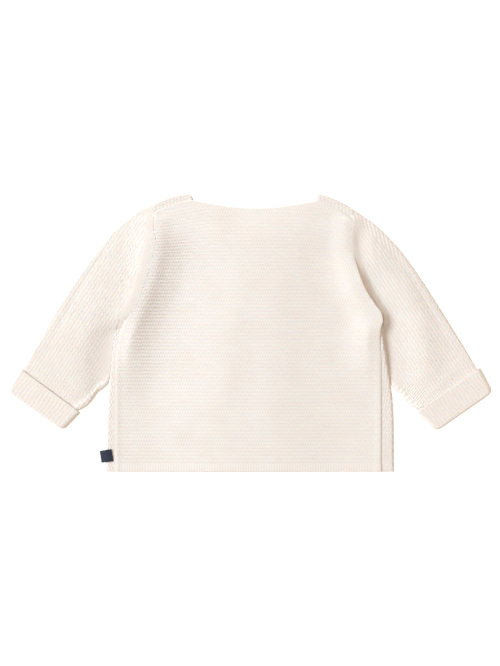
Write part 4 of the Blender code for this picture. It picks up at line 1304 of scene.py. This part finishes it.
def add_button(x, y):
    bpy.ops.object.select_all(action="DESELECT")
    low, high = BUTTON_SIDE
    bpy.ops.mesh.primitive_cylinder_add(
        vertices=64,
        radius=BUTTON_RADIUS * MM,
        depth=(high - low) * MM,
        location=metres(x, y, (low + high) / 2),
    )
    piece = bpy.context.active_object
    for way, rings in ((1, BUTTON_UPPER), (-1, BUTTON_LOWER)):
        bpy.ops.object.mode_set(mode="EDIT")
        choose(piece, lambda face: face.normal.z * way > 0.9 and len(face.vertices) > 4, "FACE")
        for inset, up in rings:
            bpy.ops.mesh.inset(thickness=inset * MM)
            bpy.ops.transform.translate(value=(0.0, 0.0, up * MM))
        bpy.ops.object.mode_set(mode="OBJECT")
    rounded = piece.modifiers.new("rounded", "BEVEL")
    rounded.width = BUTTON_EDGE * MM
    rounded.segments = 2
    rounded.limit_method = "ANGLE"
    rounded.angle_limit = BUTTON_EDGE_ANGLE
    for across, along in ((-1, -1), (-1, 1), (1, -1), (1, 1)):
        bpy.ops.mesh.primitive_cylinder_add(
            vertices=24,
            radius=HOLE_RADIUS * MM,
            depth=HOLE_CUT * MM,
            location=metres(x + across * HOLE_PLACE, y + along * HOLE_PLACE, HOLE_HEIGHT),
        )
        cutter = bpy.context.active_object
        bpy.context.view_layer.objects.active = piece
        hole = piece.modifiers.new("hole", "BOOLEAN")
        hole.object = cutter
        bpy.ops.object.select_all(action="DESELECT")
        piece.select_set(True)
        for modifier in list(piece.modifiers):
            bpy.ops.object.modifier_apply(modifier=modifier.name)
        bpy.data.objects.remove(cutter)
    return piece


def add_loops(places, radius, thread, standing, size):
    """Rings of thread, lying or standing, stretched to a size, as one piece."""
    made = []
    for place in places:
        bpy.ops.object.select_all(action="DESELECT")
        bpy.ops.mesh.primitive_torus_add(
            major_segments=32,
            minor_segments=8,
            major_radius=radius * MM,
            minor_radius=thread * MM,
            rotation=(math.pi / 2 if standing else 0.0, 0.0, 0.0),
            location=metres(*place),
        )
        loop = bpy.context.active_object
        bpy.ops.object.mode_set(mode="EDIT")
        bpy.ops.transform.resize(value=size)
        bpy.ops.object.mode_set(mode="OBJECT")
        made.append(loop)
    for loop in made:
        loop.select_set(True)
    if len(made) > 1:
        bpy.ops.object.join()
    return bpy.context.active_object


shell_look = clouded_material("pale shell", (0.72, 0.68, 0.6), (0.84, 0.81, 0.75), 260.0, 0.28, 0.02)
thread_look = clouded_material("cotton thread", (0.78, 0.72, 0.64), (0.86, 0.81, 0.74), 2400.0, 0.9, 0.05)
top = BUTTON_LEVELS[0]
button = finished(add_button(BUTTON_X, top), shell_look)
loop_places = [(BUTTON_X, top + side * HOLE_PLACE, THREAD_HEIGHT) for side in (-1, 1)]
loops = finished(add_loops(loop_places, HOLE_PLACE, THREAD, True, THREAD_SIZE), thread_look)
ring_place = (BUTTONHOLE_X, top, BUTTONHOLE_HEIGHT)
ring = add_loops([ring_place], BUTTONHOLE_RADIUS, BUTTONHOLE_THREAD, False, BUTTONHOLE_SIZE)
ring = finished(ring, thread_look)
for number in range(len(BUTTON_LEVELS), 0, -1):
    for first, name in ((button, "shell_button"), (loops, "button_thread"), (ring, "buttonhole")):
        piece = first if number == 1 else copied_down(first, top - BUTTON_LEVELS[number - 1])
        piece.name = f"{name}_{number}"
        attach(piece, "root")
        if first is button:
            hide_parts(f"button_{number}")

# ---------------------------------------------------------------- studio
# A pale floor, a large soft lamp at the upper left, soft light all round, and a camera straight above.

FLOOR_REACH = 3.0
FLOOR_HEIGHT = -0.0002
LAMP_PLACE = (-5.3, 2.3, 4.3)
LAMP_SIZE = 3.6
LAMP_POWER = 525.0
LAMP_COLOUR = (0.82, 0.97, 1.12)
# From top to bottom the frame shows 666 rows of 0.969 mm. The camera's height and place are in metres.
FRAME_HEIGHT = 666 * 0.969 * MM
CAMERA_HEIGHT = 2.4
CAMERA_PLACE = (0.0002, -0.001, CAMERA_HEIGHT + 0.005)
SENSOR = 36.0

floor_mesh = bpy.data.meshes.new("floor")
floor_corners = [(x * FLOOR_REACH, y * FLOOR_REACH, 0) for x, y in ((-1, -1), (1, -1), (1, 1), (-1, 1))]
floor_mesh.from_pydata(floor_corners, [], [(0, 1, 2, 3)])
floor = bpy.data.objects.new("floor", floor_mesh)
floor.location.z = FLOOR_HEIGHT
bpy.context.scene.collection.objects.link(floor)
floor_paint, floor_shader = new_look("floor")
set_values(floor_shader, {
    "Base Color": (0.6, 0.6, 0.6, 1.0),
    "Roughness": 0.9,
    "Specular IOR Level": 0.0,
    "Emission Color": (1.0, 1.0, 1.0, 1.0),
    "Emission Strength": 0.74,
})
floor_mesh.materials.append(floor_paint)

world = bpy.data.worlds.new("soft light all round")
world.use_nodes = True
set_values(world.node_tree.nodes["Background"], {"Color": (1.0, 0.84, 0.7, 1.0), "Strength": 0.61})
bpy.context.scene.world = world

lamp_light = bpy.data.lights.new("upper left lamp", "AREA")
lamp_light.shape = "DISK"
lamp_light.size = LAMP_SIZE
lamp_light.energy = LAMP_POWER
lamp_light.color = LAMP_COLOUR
lamp = bpy.data.objects.new("upper left lamp", lamp_light)
lamp.location = LAMP_PLACE
lamp.rotation_mode = "QUATERNION"
lamp.rotation_quaternion = (-lamp.location).to_track_quat("-Z", "Y")
bpy.context.scene.collection.objects.link(lamp)

camera_lens = bpy.data.cameras.new("camera")
camera_lens.sensor_width = SENSOR
camera_lens.lens = SENSOR * CAMERA_HEIGHT / FRAME_HEIGHT
camera = bpy.data.objects.new("camera", camera_lens)
camera.location = CAMERA_PLACE
bpy.context.scene.collection.objects.link(camera)
bpy.context.scene.camera = camera
bpy.context.scene.view_settings.view_transform = "Standard"
